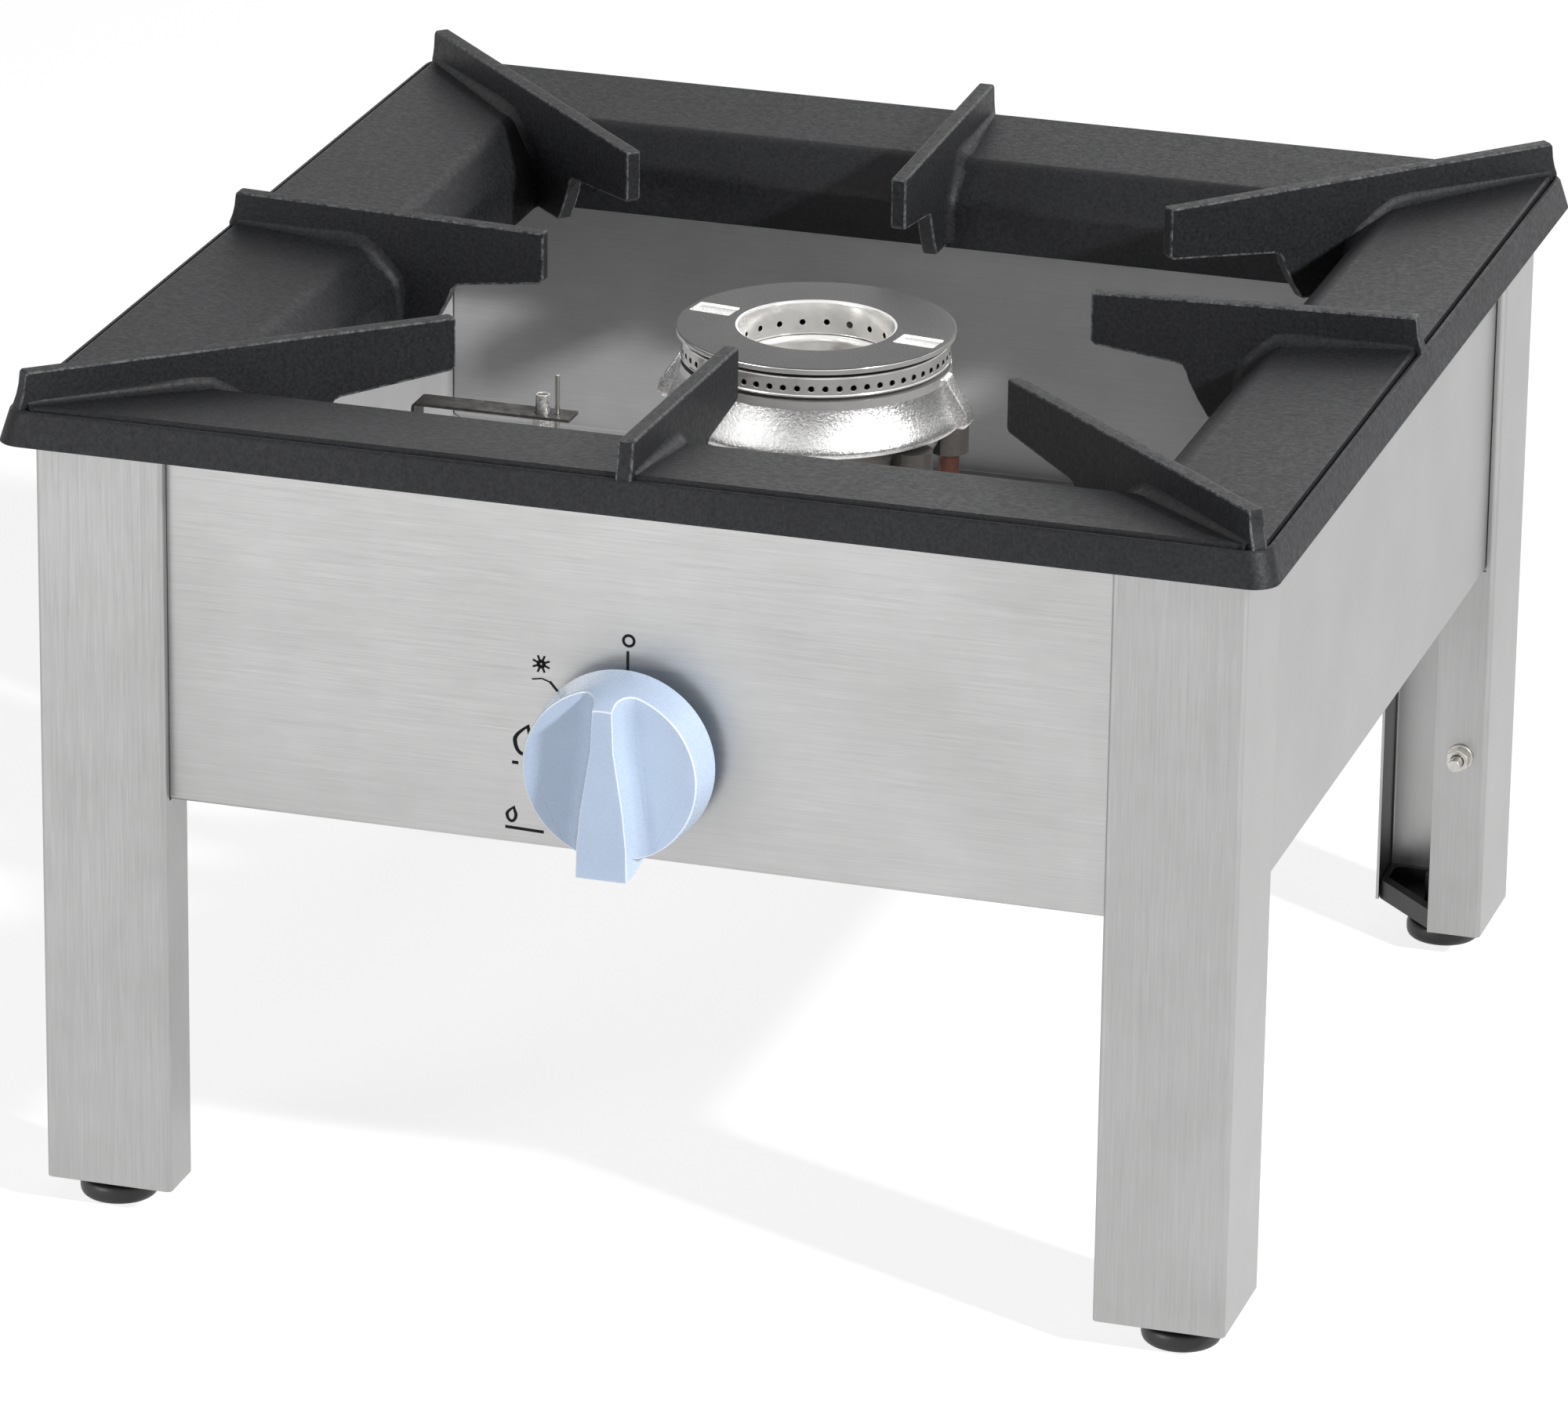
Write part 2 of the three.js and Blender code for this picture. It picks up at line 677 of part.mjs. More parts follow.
// The upright outline of a finger along +X; a corner finger is stretched to reach its own corner.
function fingerSide(stretch, setback) {
  const tip = tipReach * stretch;
  const end = (grateHalf - setback) * stretch;
  const knee = slopeInner * stretch;
  const ribEnd = (panelFace - PANEL_TOP_RETURN) * stretch;
  const tipUnder = tipTop - TIP_DEPTH;
  const archStart = tip + ARCH_START * (knee - tip);
  const archTop = tipUnder - ARCH_FALL;
  const side = new THREE.Shape();
  side.moveTo(tip, tipUnder + TIP_ROUND);
  side.lineTo(tip + TIP_ROUND, tipUnder);
  side.lineTo(archStart, archTop);
  const archEnd = archStart + ARCH_REACH;
  side.quadraticCurveTo(archEnd - ARCH_REACH * 0.4, archTop - 1.5, archEnd, archTop - ARCH_DROP);
  side.lineTo(archStart + ROOT_REACH, apronBottom);
  side.lineTo(knee + IRON - 2, apronBottom);
  side.lineTo(knee + IRON + 2, seat - SEAT_STEP);
  side.lineTo(ribEnd - 1.5 * SEAT_STEP, seat);
  side.lineTo(end - IRON / 2, seat);
  side.lineTo(end, seat + SEAT_STEP);
  side.lineTo(end, fingerTop - END_ROUND);
  side.quadraticCurveTo(end, fingerTop, end - END_ROUND, fingerTop);
  side.lineTo(tip + TIP_ROUND, tipTop);
  side.quadraticCurveTo(tip, tipTop, tip, tipTop - TIP_ROUND);
  return side;
}

function fingerSolid(stretch, setback) {
  const options = {
    depth: FINGER_THICKNESS - 2 * FINGER_EDGE,
    bevelEnabled: true,
    bevelThickness: FINGER_EDGE,
    bevelSize: FINGER_EDGE,
    bevelOffset: -FINGER_EDGE,
    bevelSegments: 1,
    curveSegments: 2,
  };
  const geometry = new THREE.ExtrudeGeometry(fingerSide(stretch, setback), options);
  geometry.translate(0, 0, FINGER_EDGE - FINGER_THICKNESS / 2);
  return toSolid(geometry.rotateX(Math.PI / 2));
}

function makeGrate() {
  let grate = rimSolid();
  for (let i = 0; i < 4; i += 1) {
    grate = grate.add(fingerSolid(1, FINGER_SETBACK).rotate([0, 0, i * 90]));
    grate = grate.add(fingerSolid(Math.SQRT2, CORNER_SETBACK).rotate([0, 0, i * 90 + 45]));
  }
  place('grate', grate, castIron);
}

// ---------------------------------------------------------------- burner

// A ring of ports through a skirt, each through the middle of a facet of the cap.
function portTools(count, radius, z) {
  const tools = [];
  for (let i = 0; i < count; i += 1) {
    const drill = toSolid(barX(PORT_DIAMETER / 2, radius - CAP_WALL, radius + CAP_WALL, 0, z, HEXAGON));
    const facet = i * Math.round(OUTER_PORTS / count) + 0.5;
    tools.push(drill.rotate([0, 0, (facet * 360) / OUTER_PORTS]));
  }
  return joined(...tools);
}

// The lift-off cap: a flat ring with an outer and an inner skirt, both drilled with flame ports.
function makeBurnerCap() {
  const edge = CAP_DIAMETER / 2;
  const under = capTop - CAP_PLATE;
  const cap = turned([
    [boreRadius, capBottom],
    [boreRadius + CAP_WALL, capBottom],
    [boreRadius + CAP_WALL, under],
    [skirtRadius - CAP_WALL, under],
    [skirtRadius - CAP_WALL, capBottom],
    [skirtRadius, capBottom],
    [skirtRadius, under],
    [edge, under + 1.5],
    [edge, capTop - 1.4],
    [edge - 1.6, capTop],
    [boreRadius + 1.4, capTop],
    [boreRadius, capTop - 1.6],
  ], OUTER_PORTS);
  const portZ = capBottom + CAP_SKIRT / 2;
  const slots = [0, 180].map((turn) => {
    const reach = edge - 3;
    const slot = block(reach - CAP_SLOT_LENGTH, reach, -CAP_SLOT_WIDTH / 2, CAP_SLOT_WIDTH / 2,
      capTop - CAP_SLOT_DEPTH, capTop + 1);
    return toSolid(slot).rotate([0, 0, turn + CAP_SLOT_TURN]);
  });
  const outer = portTools(OUTER_PORTS, skirtRadius, portZ);
  const inner = portTools(INNER_PORTS, boreRadius, portZ);
  place('burner_cap', cut(cap, outer, inner, ...slots), nickel);
}

// A rib on the burner's side, from under the cap to the foot of the bell.
function lugSolid() {
  const top = skirtRadius - BURNER_WALL;
  const foot = skirtRadius + LUG_REACH;
  const side = new THREE.Shape();
  side.moveTo(top, bellTop - 1);
  side.lineTo(skirtRadius + 1.5, bellTop - 1);
  side.quadraticCurveTo(skirtRadius + 5, bellTop - 5, foot - 1, bellBottom + 7);
  side.lineTo(foot, bellBottom + 3);
  side.lineTo(foot - 3, bellBottom);
  side.lineTo(top, bellBottom);
  const options = { depth: LUG_THICKNESS, bevelEnabled: false, curveSegments: 4 };
  const geometry = new THREE.ExtrudeGeometry(side, options).translate(0, 0, -LUG_THICKNESS / 2);
  return toSolid(geometry.rotateX(Math.PI / 2));
}

// The burner body: an annular gas bowl under a flared bell, open through its middle.
function makeBurnerBody() {
  const bell = skirtRadius + BELL_FLARE;
  const bowl = BOWL_DIAMETER / 2;
  const bore = boreRadius - 3;
  const wall = BURNER_WALL;
  const body = turned([
    [bore + 1, bellTop],
    [bore, bellTop - 3],
    [bore, bowlBottom],
    [bowl - 8, bowlBottom],
    [bowl - 2, bowlBottom + 3],
    [bowl + 3, bowlBottom + 10],
    [bowl + 6, bellBottom - 3],
    [bell - 3, bellBottom - 1],
    [bell, bellBottom + 1],
    [bell, bellBottom + 3],
    [bell - 4, bellBottom + 10],
    [skirtRadius + 0.6, bellTop - 4],
    [skirtRadius + 0.6, bellTop],
    [skirtRadius - wall, bellTop],
    [skirtRadius - wall, bellBottom + 2],
    [bowl - 1, bowlBottom + 11],
    [bowl - 7, bowlBottom + wall],
    [bore + wall, bowlBottom + wall],
    [bore + wall, bellTop],
  ], LARGE_ROUND);
  const pads = [];
  const sockets = [];
  for (const [, signX, signY] of corners) {
    const x = signX * PILLAR_X;
    const y = signY * PILLAR_Y;
    pads.push(toSolid(barZ(PAD_DIAMETER / 2, bowlBottom, bellBottom + 2, x, y)));
    const socketTop = bowlBottom + SPIGOT_LENGTH + CLEARANCE;
    sockets.push(toSolid(barZ(SPIGOT_DIAMETER / 2 + CLEARANCE, bowlBottom - 1, socketTop, x, y)));
  }
  // The pads stay outside the gas bowl.
  const chamber = turned([
    [0, bowlBottom - 1],
    [bowl - 4, bowlBottom - 1],
    [bowl + 1, bowlBottom + 11],
    [skirtRadius - wall + 2, bellBottom + 2],
    [0, bellBottom + 3],
  ]);
  const inlet = toSolid(barZ(MIXER_BORE / 2 - 1, bowlBottom - 1, bowlBottom + wall + 1, 0, mixerInletY));
  const lugs = [lugSolid(), lugSolid().rotate([0, 0, 180])];
  const shell = joined(body, ...lugs, ...pads.map((pad) => cut(pad, chamber)));
  place('burner_body', cut(shell, inlet, ...sockets), nickel);
}

// ---------------------------------------------------------------- burner support

const railHalfLength = panelInside - FOLD_RADIUS; // clear of the round inside the panel's lower fold

function makeRails() {
  const half = RAIL_WIDTH / 2;
  for (const [name, sign] of [['front', -1], ['rear', 1]]) {
    const y = sign * PILLAR_Y;
    const section = folded([
      [y + half, railBottom],
      [y + half, railTop],
      [y - half, railTop],
      [y - half, railBottom],
    ], RAIL_SHEET);
    const rail = toSolid(drawnX(section, -railHalfLength, railHalfLength));
    const holes = [-1, 1].map((side) => {
      const radius = SPIGOT_DIAMETER / 2 + CLEARANCE;
      return toSolid(barZ(radius, railTop - RAIL_SHEET - 1, railTop + 1, side * PILLAR_X, y));
    });
    place(`burner_rail_${name}`, cut(rail, ...holes), innerSteel);
  }
}

function makePillars() {
  for (const [name, signX, signY] of corners) {
    const x = signX * PILLAR_X;
    const y = signY * PILLAR_Y;
    const bottom = railTop + CLEARANCE;
    const top = bowlBottom - CLEARANCE;
    const pillar = barZ(PILLAR_DIAMETER / 2, bottom, top, x, y);
    const spigotBottom = bottom - RAIL_SHEET - SPIGOT_LENGTH;
    const spigot = barZ(SPIGOT_DIAMETER / 2, spigotBottom, top + SPIGOT_LENGTH, x, y);
    place(`burner_pillar_${name}`, joined(toSolid(pillar), toSolid(spigot)), copper);
  }
}

// ---------------------------------------------------------------- gas ways

// The mixing tube: a flared mouth behind the injector, a straight throat and an elbow up to the burner.
function makeMixingTube() {
  const bore = MIXER_BORE / 2;
  const outer = bore + MIXER_WALL;
  const mouth = MIXER_MOUTH / 2;
  const top = bowlBottom - CLEARANCE;
  const bend = Math.min(top - tapZ, mixerInletY - mixerMouth - MIXER_FLARE) * 0.8;
  const alongY = (solid) => solid.rotate([-90, 0, 0]).translate([0, mixerMouth, tapZ]);
  const bell = alongY(turned([
    [0, 0],
    [mouth + MIXER_WALL, 0],
    [mouth + MIXER_WALL, 3],
    [outer + 3, MIXER_FLARE * 0.55],
    [outer + 0.4, MIXER_FLARE],
    [0, MIXER_FLARE],
  ]));
  const bellHollow = alongY(turned([
    [0, -1],
    [mouth, -1],
    [mouth, 2.5],
    [bore + 3, MIXER_FLARE * 0.5],
    [bore - 0.2, MIXER_FLARE + 1],
    [0, MIXER_FLARE + 1],
  ]));
  const elbow = (late, diameter) => piped([
    [0, mixerMouth + MIXER_FLARE - 4, tapZ],
    [0, mixerInletY, tapZ],
    [0, mixerInletY, top + late],
  ], bend, diameter, SMALL_ROUND);
  const flange = toSolid(barZ(outer + 2, top - MIXER_FLANGE, top, 0, mixerInletY, ROUND));
  const outside = joined(bell, elbow(0, 2 * outer), flange);
  place('mixing_tube', cut(outside, bellHollow, elbow(1, MIXER_BORE)), nickel);
}

// The brass tap: a neck behind the panel, a barrel with side ports and a bored middle for the plug.
const tapMiddle = (tapBodyFront + tapBack) / 2;
const portReach = TAP_DIAMETER / 2 + PORT_REACH;

function makeTap() {
  const spindleHole = SPINDLE_DIAMETER / 2 + CLEARANCE;
  const side = (diameter) => diameter / 2 + PORT_WALL;
  const pilotY = tapMiddle + PILOT_PORT_SHIFT;
  const probeY = tapMiddle + PROBE_PORT_SHIFT;
  const body = joined(
    toSolid(barY(COLLAR_DIAMETER / 2, tapFront, tapBodyFront + 1, 0, tapZ)),
    toSolid(barY(TAP_DIAMETER / 2, tapBodyFront, tapBack, 0, tapZ, THREAD_ROUND)),
    toSolid(barX(side(PIPE_DIAMETER), 0, portReach, tapMiddle, tapZ)),
    toSolid(barX(side(PILOT_TUBE_DIAMETER), -portReach, 0, pilotY, tapZ)),
    toSolid(barX(side(LEAD_DIAMETER), -portReach, 0, probeY, tapZ)),
  );
  const roomFront = tapBodyFront + TAP_FACE;
  const roomBack = roomFront + PLUG_LENGTH + 2;
  const hollows = [
    toSolid(barY(PLUG_DIAMETER / 2 + CLEARANCE, roomFront, roomBack, 0, tapZ, ROUND)),
    toSolid(barY(spindleHole, tapFront - 1, roomFront + 1, 0, tapZ)),
    toSolid(barY(GAS_WAY / 2, roomBack - 1, tapBack + 1, 0, tapZ)),
  ];
  place('tap_body', cut(body, ...hollows), brass);

  const front = roomFront + CLEARANCE;
  const back = front + PLUG_LENGTH;
  const radius = PLUG_DIAMETER / 2;
  const plug = toSolid(barY(radius, front, back, 0, tapZ, ROUND, radius - PLUG_TAPER));
  const drive = toSolid(barY(spindleHole, front - 1, front + KNOB_TRAVEL + PLUG_DRIVE_DEPTH, 0, tapZ));
  const gasWay = toSolid(barX(GAS_WAY / 2, -PLUG_DIAMETER, PLUG_DIAMETER, back - 7, tapZ));
  place('tap_plug', cut(plug, drive, gasWay), brass);
}

function makeInjector() {
  const front = tapBack + CLEARANCE;
  const wide = INJECTOR_DIAMETER * 0.38;
  const narrow = INJECTOR_DIAMETER * 0.25;
  const hex = toSolid(hexY(INJECTOR_DIAMETER, front, front + INJECTOR_LENGTH * 0.5, 0, tapZ));
  const nose = toSolid(barY(wide, front, injectorTip, 0, tapZ, SMALL_ROUND, narrow));
  const jet = toSolid(barY(1, front - 1, injectorTip + 1, 0, tapZ, 8));
  place('injector', cut(joined(hex, nose), jet), brass);
}

// The supply pipe runs back over the rails from the tap's side port to the inlet in the rear panel.
function makeSupply() {
  const start = portReach + CLEARANCE;
  const inletFront = panelInside - INLET_STUB;
  place('supply_pipe', piped([
    [start, tapMiddle, tapZ],
    [start + PIPE_OUT, tapMiddle, tapZ],
    [PIPE_X, tapMiddle + PIPE_TURN, pipeZ],
    [PIPE_X, tapMiddle + PIPE_LEVEL, pipeZ],
    [PIPE_X, inletFront - CLEARANCE, pipeZ],
  ], PIPE_BEND, PIPE_DIAMETER, 10), copper);

  const radius = INLET_DIAMETER / 2;
  const end = -knobFront; // the stub reaches as far behind the frame as the knob does in front
  const hexBack = panelInside - CLEARANCE;
  const thread = toSolid(barY(radius, inletFront, end, PIPE_X, pipeZ, THREAD_ROUND));
  const hex = toSolid(hexY(INLET_HEX, hexBack - INLET_HEX_THICKNESS, hexBack, PIPE_X, pipeZ));
  const bore = toSolid(barY(radius - INLET_WALL, inletFront - 1, end + 1, PIPE_X, pipeZ));
  place('gas_inlet', cut(joined(thread, hex), bore), brass);

  const nutFront = panelFace + CLEARANCE;
  const nutBack = nutFront + INLET_HEX_THICKNESS;
  const nut = toSolid(hexY(INLET_HEX, nutFront, nutBack, PIPE_X, pipeZ));
  const hole = toSolid(barY(radius + CLEARANCE, nutFront - 1, nutBack + 1, PIPE_X, pipeZ, THREAD_ROUND));
  place('inlet_nut', cut(nut, hole), zincSteel);
}

// ---------------------------------------------------------------- pilot

const pilotY = -PILLAR_Y;
const bracketTop = railTop + CLEARANCE + PILOT_HEIGHT;
const probeX = -PILOT_X + PROBE_OFFSET;

// A strip bent twice: a foot on the front rail, an upright, and the arm that holds the pilot.
function makePilotBracket() {
  const right = probeX + BRACKET_END;
  const left = right - PILOT_BRACKET_LENGTH;
  const bottom = railTop + CLEARANCE;
  const section = folded([
    [right, bracketTop],
    [left, bracketTop],
    [left, bottom],
    [left + BRACKET_FOOT, bottom],
  ]);
  const strip = new THREE.ExtrudeGeometry(section, { depth: PILOT_BRACKET_WIDTH, bevelEnabled: false });
  strip.rotateX(Math.PI / 2).translate(0, pilotY + PILOT_BRACKET_WIDTH / 2, 0);
  const holes = [[PILOT_DIAMETER, -PILOT_X], [PROBE_DIAMETER, probeX]].map(([diameter, x]) =>
    toSolid(barZ(diameter / 2 + CLEARANCE, bracketTop - 2 * SHEET, bracketTop + 1, x, pilotY)));
  place('pilot_bracket', cut(toSolid(strip), ...holes), darkSteel);
}

function makePilot() {
  const under = bracketTop - SHEET;
  const top = bracketTop + PILOT_RISE;
  const radius = PILOT_DIAMETER / 2;
  const stem = toSolid(barZ(radius, under - PILOT_BELOW, top, -PILOT_X, pilotY));
  const nutBottom = under - PILOT_BELOW + 2;
  const shoulder = toSolid(barZ(radius + 1.4, nutBottom, under - CLEARANCE, -PILOT_X, pilotY, HEXAGON));
  const mouth = toSolid(barZ(radius - 1.2, bracketTop + 3, top + 1, -PILOT_X, pilotY));
  place('pilot_burner', cut(joined(stem, shoulder), mouth), nickel);

  const rod = barZ(PROBE_DIAMETER / 2, under - PILOT_BELOW, bracketTop + PROBE_RISE, probeX, pilotY, 10);
  place('thermocouple', toSolid(rod), zincSteel);
}

// The pilot's gas tube and the thermocouple's lead run side by side to the tap's left ports.
function makePilotLines() {
  const start = bracketTop - SHEET - PILOT_BELOW - CLEARANCE;
  const end = -(portReach + CLEARANCE);
  const tubeY = tapMiddle + PILOT_PORT_SHIFT;
  const leadY = tapMiddle + PROBE_PORT_SHIFT;
  place('pilot_tube', piped([
    [-PILOT_X, pilotY, start],
    [-PILOT_X, pilotY, tapZ + 20],
    [-PILOT_X, tubeY, tapZ],
    [end, tubeY, tapZ],
  ], PIPE_BEND, PILOT_TUBE_DIAMETER, 8), copper);
  place('thermocouple_lead', piped([
    [probeX, pilotY, start],
    [probeX, pilotY, tapZ + 24],
    [probeX + 4, leadY, tapZ],
    [end, leadY, tapZ],
  ], PIPE_BEND, LEAD_DIAMETER, 6), copper);
}

// ---------------------------------------------------------------- knob

// The grip's outline from the front at one level: waisted, wider towards its lower end. `spread`
// widens it towards its root, but not at its lower end.
function gripRing(spread, level) {
  const top = GRIP_TOP_WIDTH / 2;
  const end = GRIP_END_WIDTH / 2;
  const face = KNOB_FACE_DIAMETER / 2;
  const low = -(KNOB_DIAMETER / 2 + GRIP_OVERHANG);
  const high = face - 6;
  const half = [
    [end - 2, low],
    [end, low + 2],
    [end * 0.99, low + 12],
    [end * 0.93, -face * 0.35],
    [(end + top) * 0.42, 0],
    [top * 1.02, face * 0.4],
    [top, high - 1.5],
    [top - 1.5, high],
  ].map(([x, y]) => [x + spread * THREE.MathUtils.clamp((y - low) / end / 2, 0, 1), y]);
  const mirrored = half.map(([x, y]) => [-x, y]).reverse();
  return [...half, ...mirrored].map(([x, y]) => [x, y, level]);
}

// The knob is made along +Z with its back at 0, then stood up to face the front.
function makeKnob() {
  const back = KNOB_DIAMETER / 2;
  const face = KNOB_FACE_DIAMETER / 2;
  const disc = turned([
    [0, 0],
    [back, 0],
    [back, 2],
    [back - 0.6, KNOB_DISC * 0.3],
    [face, KNOB_DISC - 2],
    [face - 1.6, KNOB_DISC],
    [face - 8, KNOB_DISC - 0.6],
    [0, KNOB_DISC - 1],
  ], LARGE_ROUND);
  const front = KNOB_DISC + GRIP_RISE;
  const grip = toSolid(stacked([
    gripRing(14, KNOB_DISC - GRIP_FLOOR),
    gripRing(9, KNOB_DISC),
    gripRing(4.5, KNOB_DISC + GRIP_RISE * 0.3),
    gripRing(1.6, KNOB_DISC + GRIP_RISE * 0.65),
    gripRing(0.5, front - 1),
    gripRing(-0.4, front),
  ]));
  // The grip's lower end reaches back beside the disc.
  const tail = toSolid(stacked([gripRing(0, KNOB_DISC * 0.4), gripRing(0, KNOB_DISC - GRIP_FLOOR + 1)]));
  const lowEnd = toSolid(block(-GRIP_END_WIDTH, GRIP_END_WIDTH, -KNOB_DIAMETER, -face * 0.7, 0, front));
  const socket = toSolid(barZ(SPINDLE_DIAMETER / 2 + CLEARANCE, -1, KNOB_SOCKET_DEPTH));
  const knob = cut(joined(disc, grip, tail.intersect(lowEnd)), socket);
  place('knob', knob.rotate([90, 0, 0]).translate([0, knobBack, tapZ]), bluePlastic);

  const spindleFront = knobBack - KNOB_SOCKET_DEPTH + CLEARANCE;
  const spindleBack = tapBodyFront + TAP_FACE + PLUG_DRIVE_DEPTH - CLEARANCE;
  place('spindle', toSolid(barY(SPINDLE_DIAMETER / 2, spindleFront, spindleBack, 0, tapZ)), zincSteel);
}

// ---------------------------------------------------------------- earth bolt

const earthFace = bodyHalf - LEG_FACE; // outer side of the rear right leg's forward return
const earthX = bodyHalf - LEG_RETURN / 2;

function makeEarthBolt() {
  const along = (radius, y0, y1) => toSolid(barY(radius, y0, y1, earthX, EARTH_HEIGHT));
  const inside = earthFace + SHEET + CLEARANCE;
  const washerBack = earthFace - CLEARANCE;
  const washerFront = washerBack - EARTH_WASHER_THICKNESS;
  const nutBack = washerFront - CLEARANCE;
  const nutFront = nutBack - EARTH_NUT_THICKNESS;
  const hole = EARTH_DIAMETER / 2 + CLEARANCE;
  const head = toSolid(hexY(EARTH_HEAD, inside, inside + EARTH_HEAD_THICKNESS, earthX, EARTH_HEIGHT));
  const shank = along(EARTH_DIAMETER / 2, inside + 1 - EARTH_LENGTH, inside + 1);
  place('earth_bolt', joined(head, shank), zincSteel);
  const washer = along(EARTH_WASHER_DIAMETER / 2, washerFront, washerBack);
  place('earth_washer', cut(washer, along(hole, washerFront - 1, washerBack + 1)), zincSteel);
  const nut = toSolid(hexY(EARTH_HEAD, nutFront, nutBack, earthX, EARTH_HEIGHT));
  place('earth_nut', cut(nut, along(hole, nutFront - 1, nutBack + 1)), zincSteel);
}

makeLegs();
makePanels();
makeFeet();
makeGrate();
makeBurnerCap();
makeBurnerBody();
makeRails();
makePillars();
makeMixingTube();
makeTap();
makeInjector();
makeSupply();
makePilotBracket();
makePilot();
makePilotLines();
makeKnob();
makeEarthBolt();

export default range;
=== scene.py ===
# %% [markdown]
# # A gas stock pot range in Blender
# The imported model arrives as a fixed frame: every piece of it sits where the real one does, in metres.
# This notebook dresses that frame. The pieces that catch the eye are modelled again with finer folds,
# fillets and ports, and every surface gets a procedural finish.

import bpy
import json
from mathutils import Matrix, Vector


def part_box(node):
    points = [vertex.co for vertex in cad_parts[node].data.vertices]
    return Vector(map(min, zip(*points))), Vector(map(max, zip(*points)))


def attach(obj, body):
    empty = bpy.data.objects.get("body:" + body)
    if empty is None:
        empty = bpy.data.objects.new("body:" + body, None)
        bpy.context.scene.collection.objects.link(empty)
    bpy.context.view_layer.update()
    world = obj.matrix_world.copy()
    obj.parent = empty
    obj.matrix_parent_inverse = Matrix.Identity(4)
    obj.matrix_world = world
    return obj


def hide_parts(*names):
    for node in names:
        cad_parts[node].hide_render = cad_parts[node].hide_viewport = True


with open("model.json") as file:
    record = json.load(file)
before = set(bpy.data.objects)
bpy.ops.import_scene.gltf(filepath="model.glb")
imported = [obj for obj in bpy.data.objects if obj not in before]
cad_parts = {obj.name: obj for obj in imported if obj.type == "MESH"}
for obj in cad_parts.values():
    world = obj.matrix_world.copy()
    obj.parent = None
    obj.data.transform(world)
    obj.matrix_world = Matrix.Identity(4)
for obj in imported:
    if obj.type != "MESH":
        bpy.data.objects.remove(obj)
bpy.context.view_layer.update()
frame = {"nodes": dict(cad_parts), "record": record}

# %% Tools used all the way through
import json
import math

import bmesh
import bpy
from mathutils import Matrix, Vector

MM = 0.001
CLOSE = 0.01 * MM
UPRIGHT = (math.radians(90), 0, 0)


def fresh(name, add, **how):
    """A new primitive, alone in the selection, under its own name."""
    bpy.ops.object.select_all(action="DESELECT")
    add(**how)
    piece = bpy.context.object
    piece.name = piece.data.name = name
    return piece


def alone(piece):
    """Makes a piece the active one and the only one selected."""
    bpy.ops.object.select_all(action="DESELECT")
    piece.select_set(True)
    bpy.context.view_layer.objects.active = piece


def pick(piece, kind, test):
    """Selects, in edit mode, the vertices, edges or faces that pass a test."""
    bpy.ops.mesh.select_mode(type=kind)
    bpy.ops.mesh.select_all(action="DESELECT")
    mesh = bmesh.from_edit_mesh(piece.data)
    for part in {"VERT": mesh.verts, "EDGE": mesh.edges, "FACE": mesh.faces}[kind]:
        if test(part):
            part.select_set(True)
    mesh.select_flush_mode()
    bmesh.update_edit_mesh(piece.data)


def open_mesh(piece):
    """Goes into edit mode with everything selected."""
    alone(piece)
    bpy.ops.object.mode_set(mode="EDIT")
    bpy.ops.mesh.select_all(action="SELECT")


def close_mesh():
    bpy.ops.object.mode_set(mode="OBJECT")


def face_outwards():
    """In edit mode, points every face outwards."""
    bpy.ops.mesh.select_all(action="SELECT")
    bpy.ops.mesh.normals_make_consistent(inside=False)


def slice_across(axis, places):
    """In edit mode, cuts the whole mesh square to an axis at places in millimetres."""
    axis = Vector(axis)
    for place in places:
        bpy.ops.mesh.select_all(action="SELECT")
        bpy.ops.mesh.bisect(plane_co=axis * (place * MM), plane_no=axis)


def midpoint(low, high):
    return (low + high) / 2


def settle(piece):
    """Puts a piece's place into its mesh, so that its object sits at the origin."""
    alone(piece)
    bpy.ops.object.transform_apply(location=True, rotation=True, scale=True)


def apply_modifier(piece, kind, **settings):
    alone(piece)
    bpy.ops.object.modifier_add(type=kind)
    modifier = piece.modifiers[-1]
    for key, value in settings.items():
        setattr(modifier, key, value)
    bpy.ops.object.modifier_apply(modifier=modifier.name)


def carve(piece, tool, operation="DIFFERENCE"):
    """Cuts a tool out of a piece, or joins it on, and throws the tool away."""
    apply_modifier(piece, "BOOLEAN", operation=operation, object=tool, solver="EXACT")
    bpy.data.objects.remove(tool)


def drill(piece, place, radius, depth, sides=48, rotation=(0, 0, 0)):
    """Drills a round hole along Z, or along the axis that a rotation gives."""
    bit = fresh("drill", bpy.ops.mesh.primitive_cylinder_add, vertices=sides, radius=radius, depth=depth,
                location=place, rotation=rotation)
    carve(piece, bit)


def joined(pieces):
    """Joins loose pieces into the first of them."""
    alone(pieces[0])
    for piece in pieces:
        piece.select_set(True)
    if len(pieces) > 1:
        bpy.ops.object.join()
    return pieces[0]


def round_edges(piece, width, segments=2, angle=30, edge_slot=-1, clamp=True):
    """Bevels the sharp edges; the rounds may take a finish of their own."""
    apply_modifier(piece, "BEVEL", width=width, segments=segments, limit_method="ANGLE",
                   angle_limit=math.radians(angle), use_clamp_overlap=clamp, material=edge_slot)


def soften(piece, width, smooth=35, **how):
    """Rounds the sharp edges and shades the rounds smoothly."""
    round_edges(piece, width, **how)
    bpy.ops.object.shade_smooth_by_angle(angle=math.radians(smooth))
    apply_modifier(piece, "WEIGHTED_NORMAL", keep_sharp=True)


def copy_of(piece, name):
    """A copy with its own mesh."""
    twin = piece.copy()
    twin.data = piece.data.copy()
    twin.name = twin.data.name = name
    bpy.context.collection.objects.link(twin)
    return twin


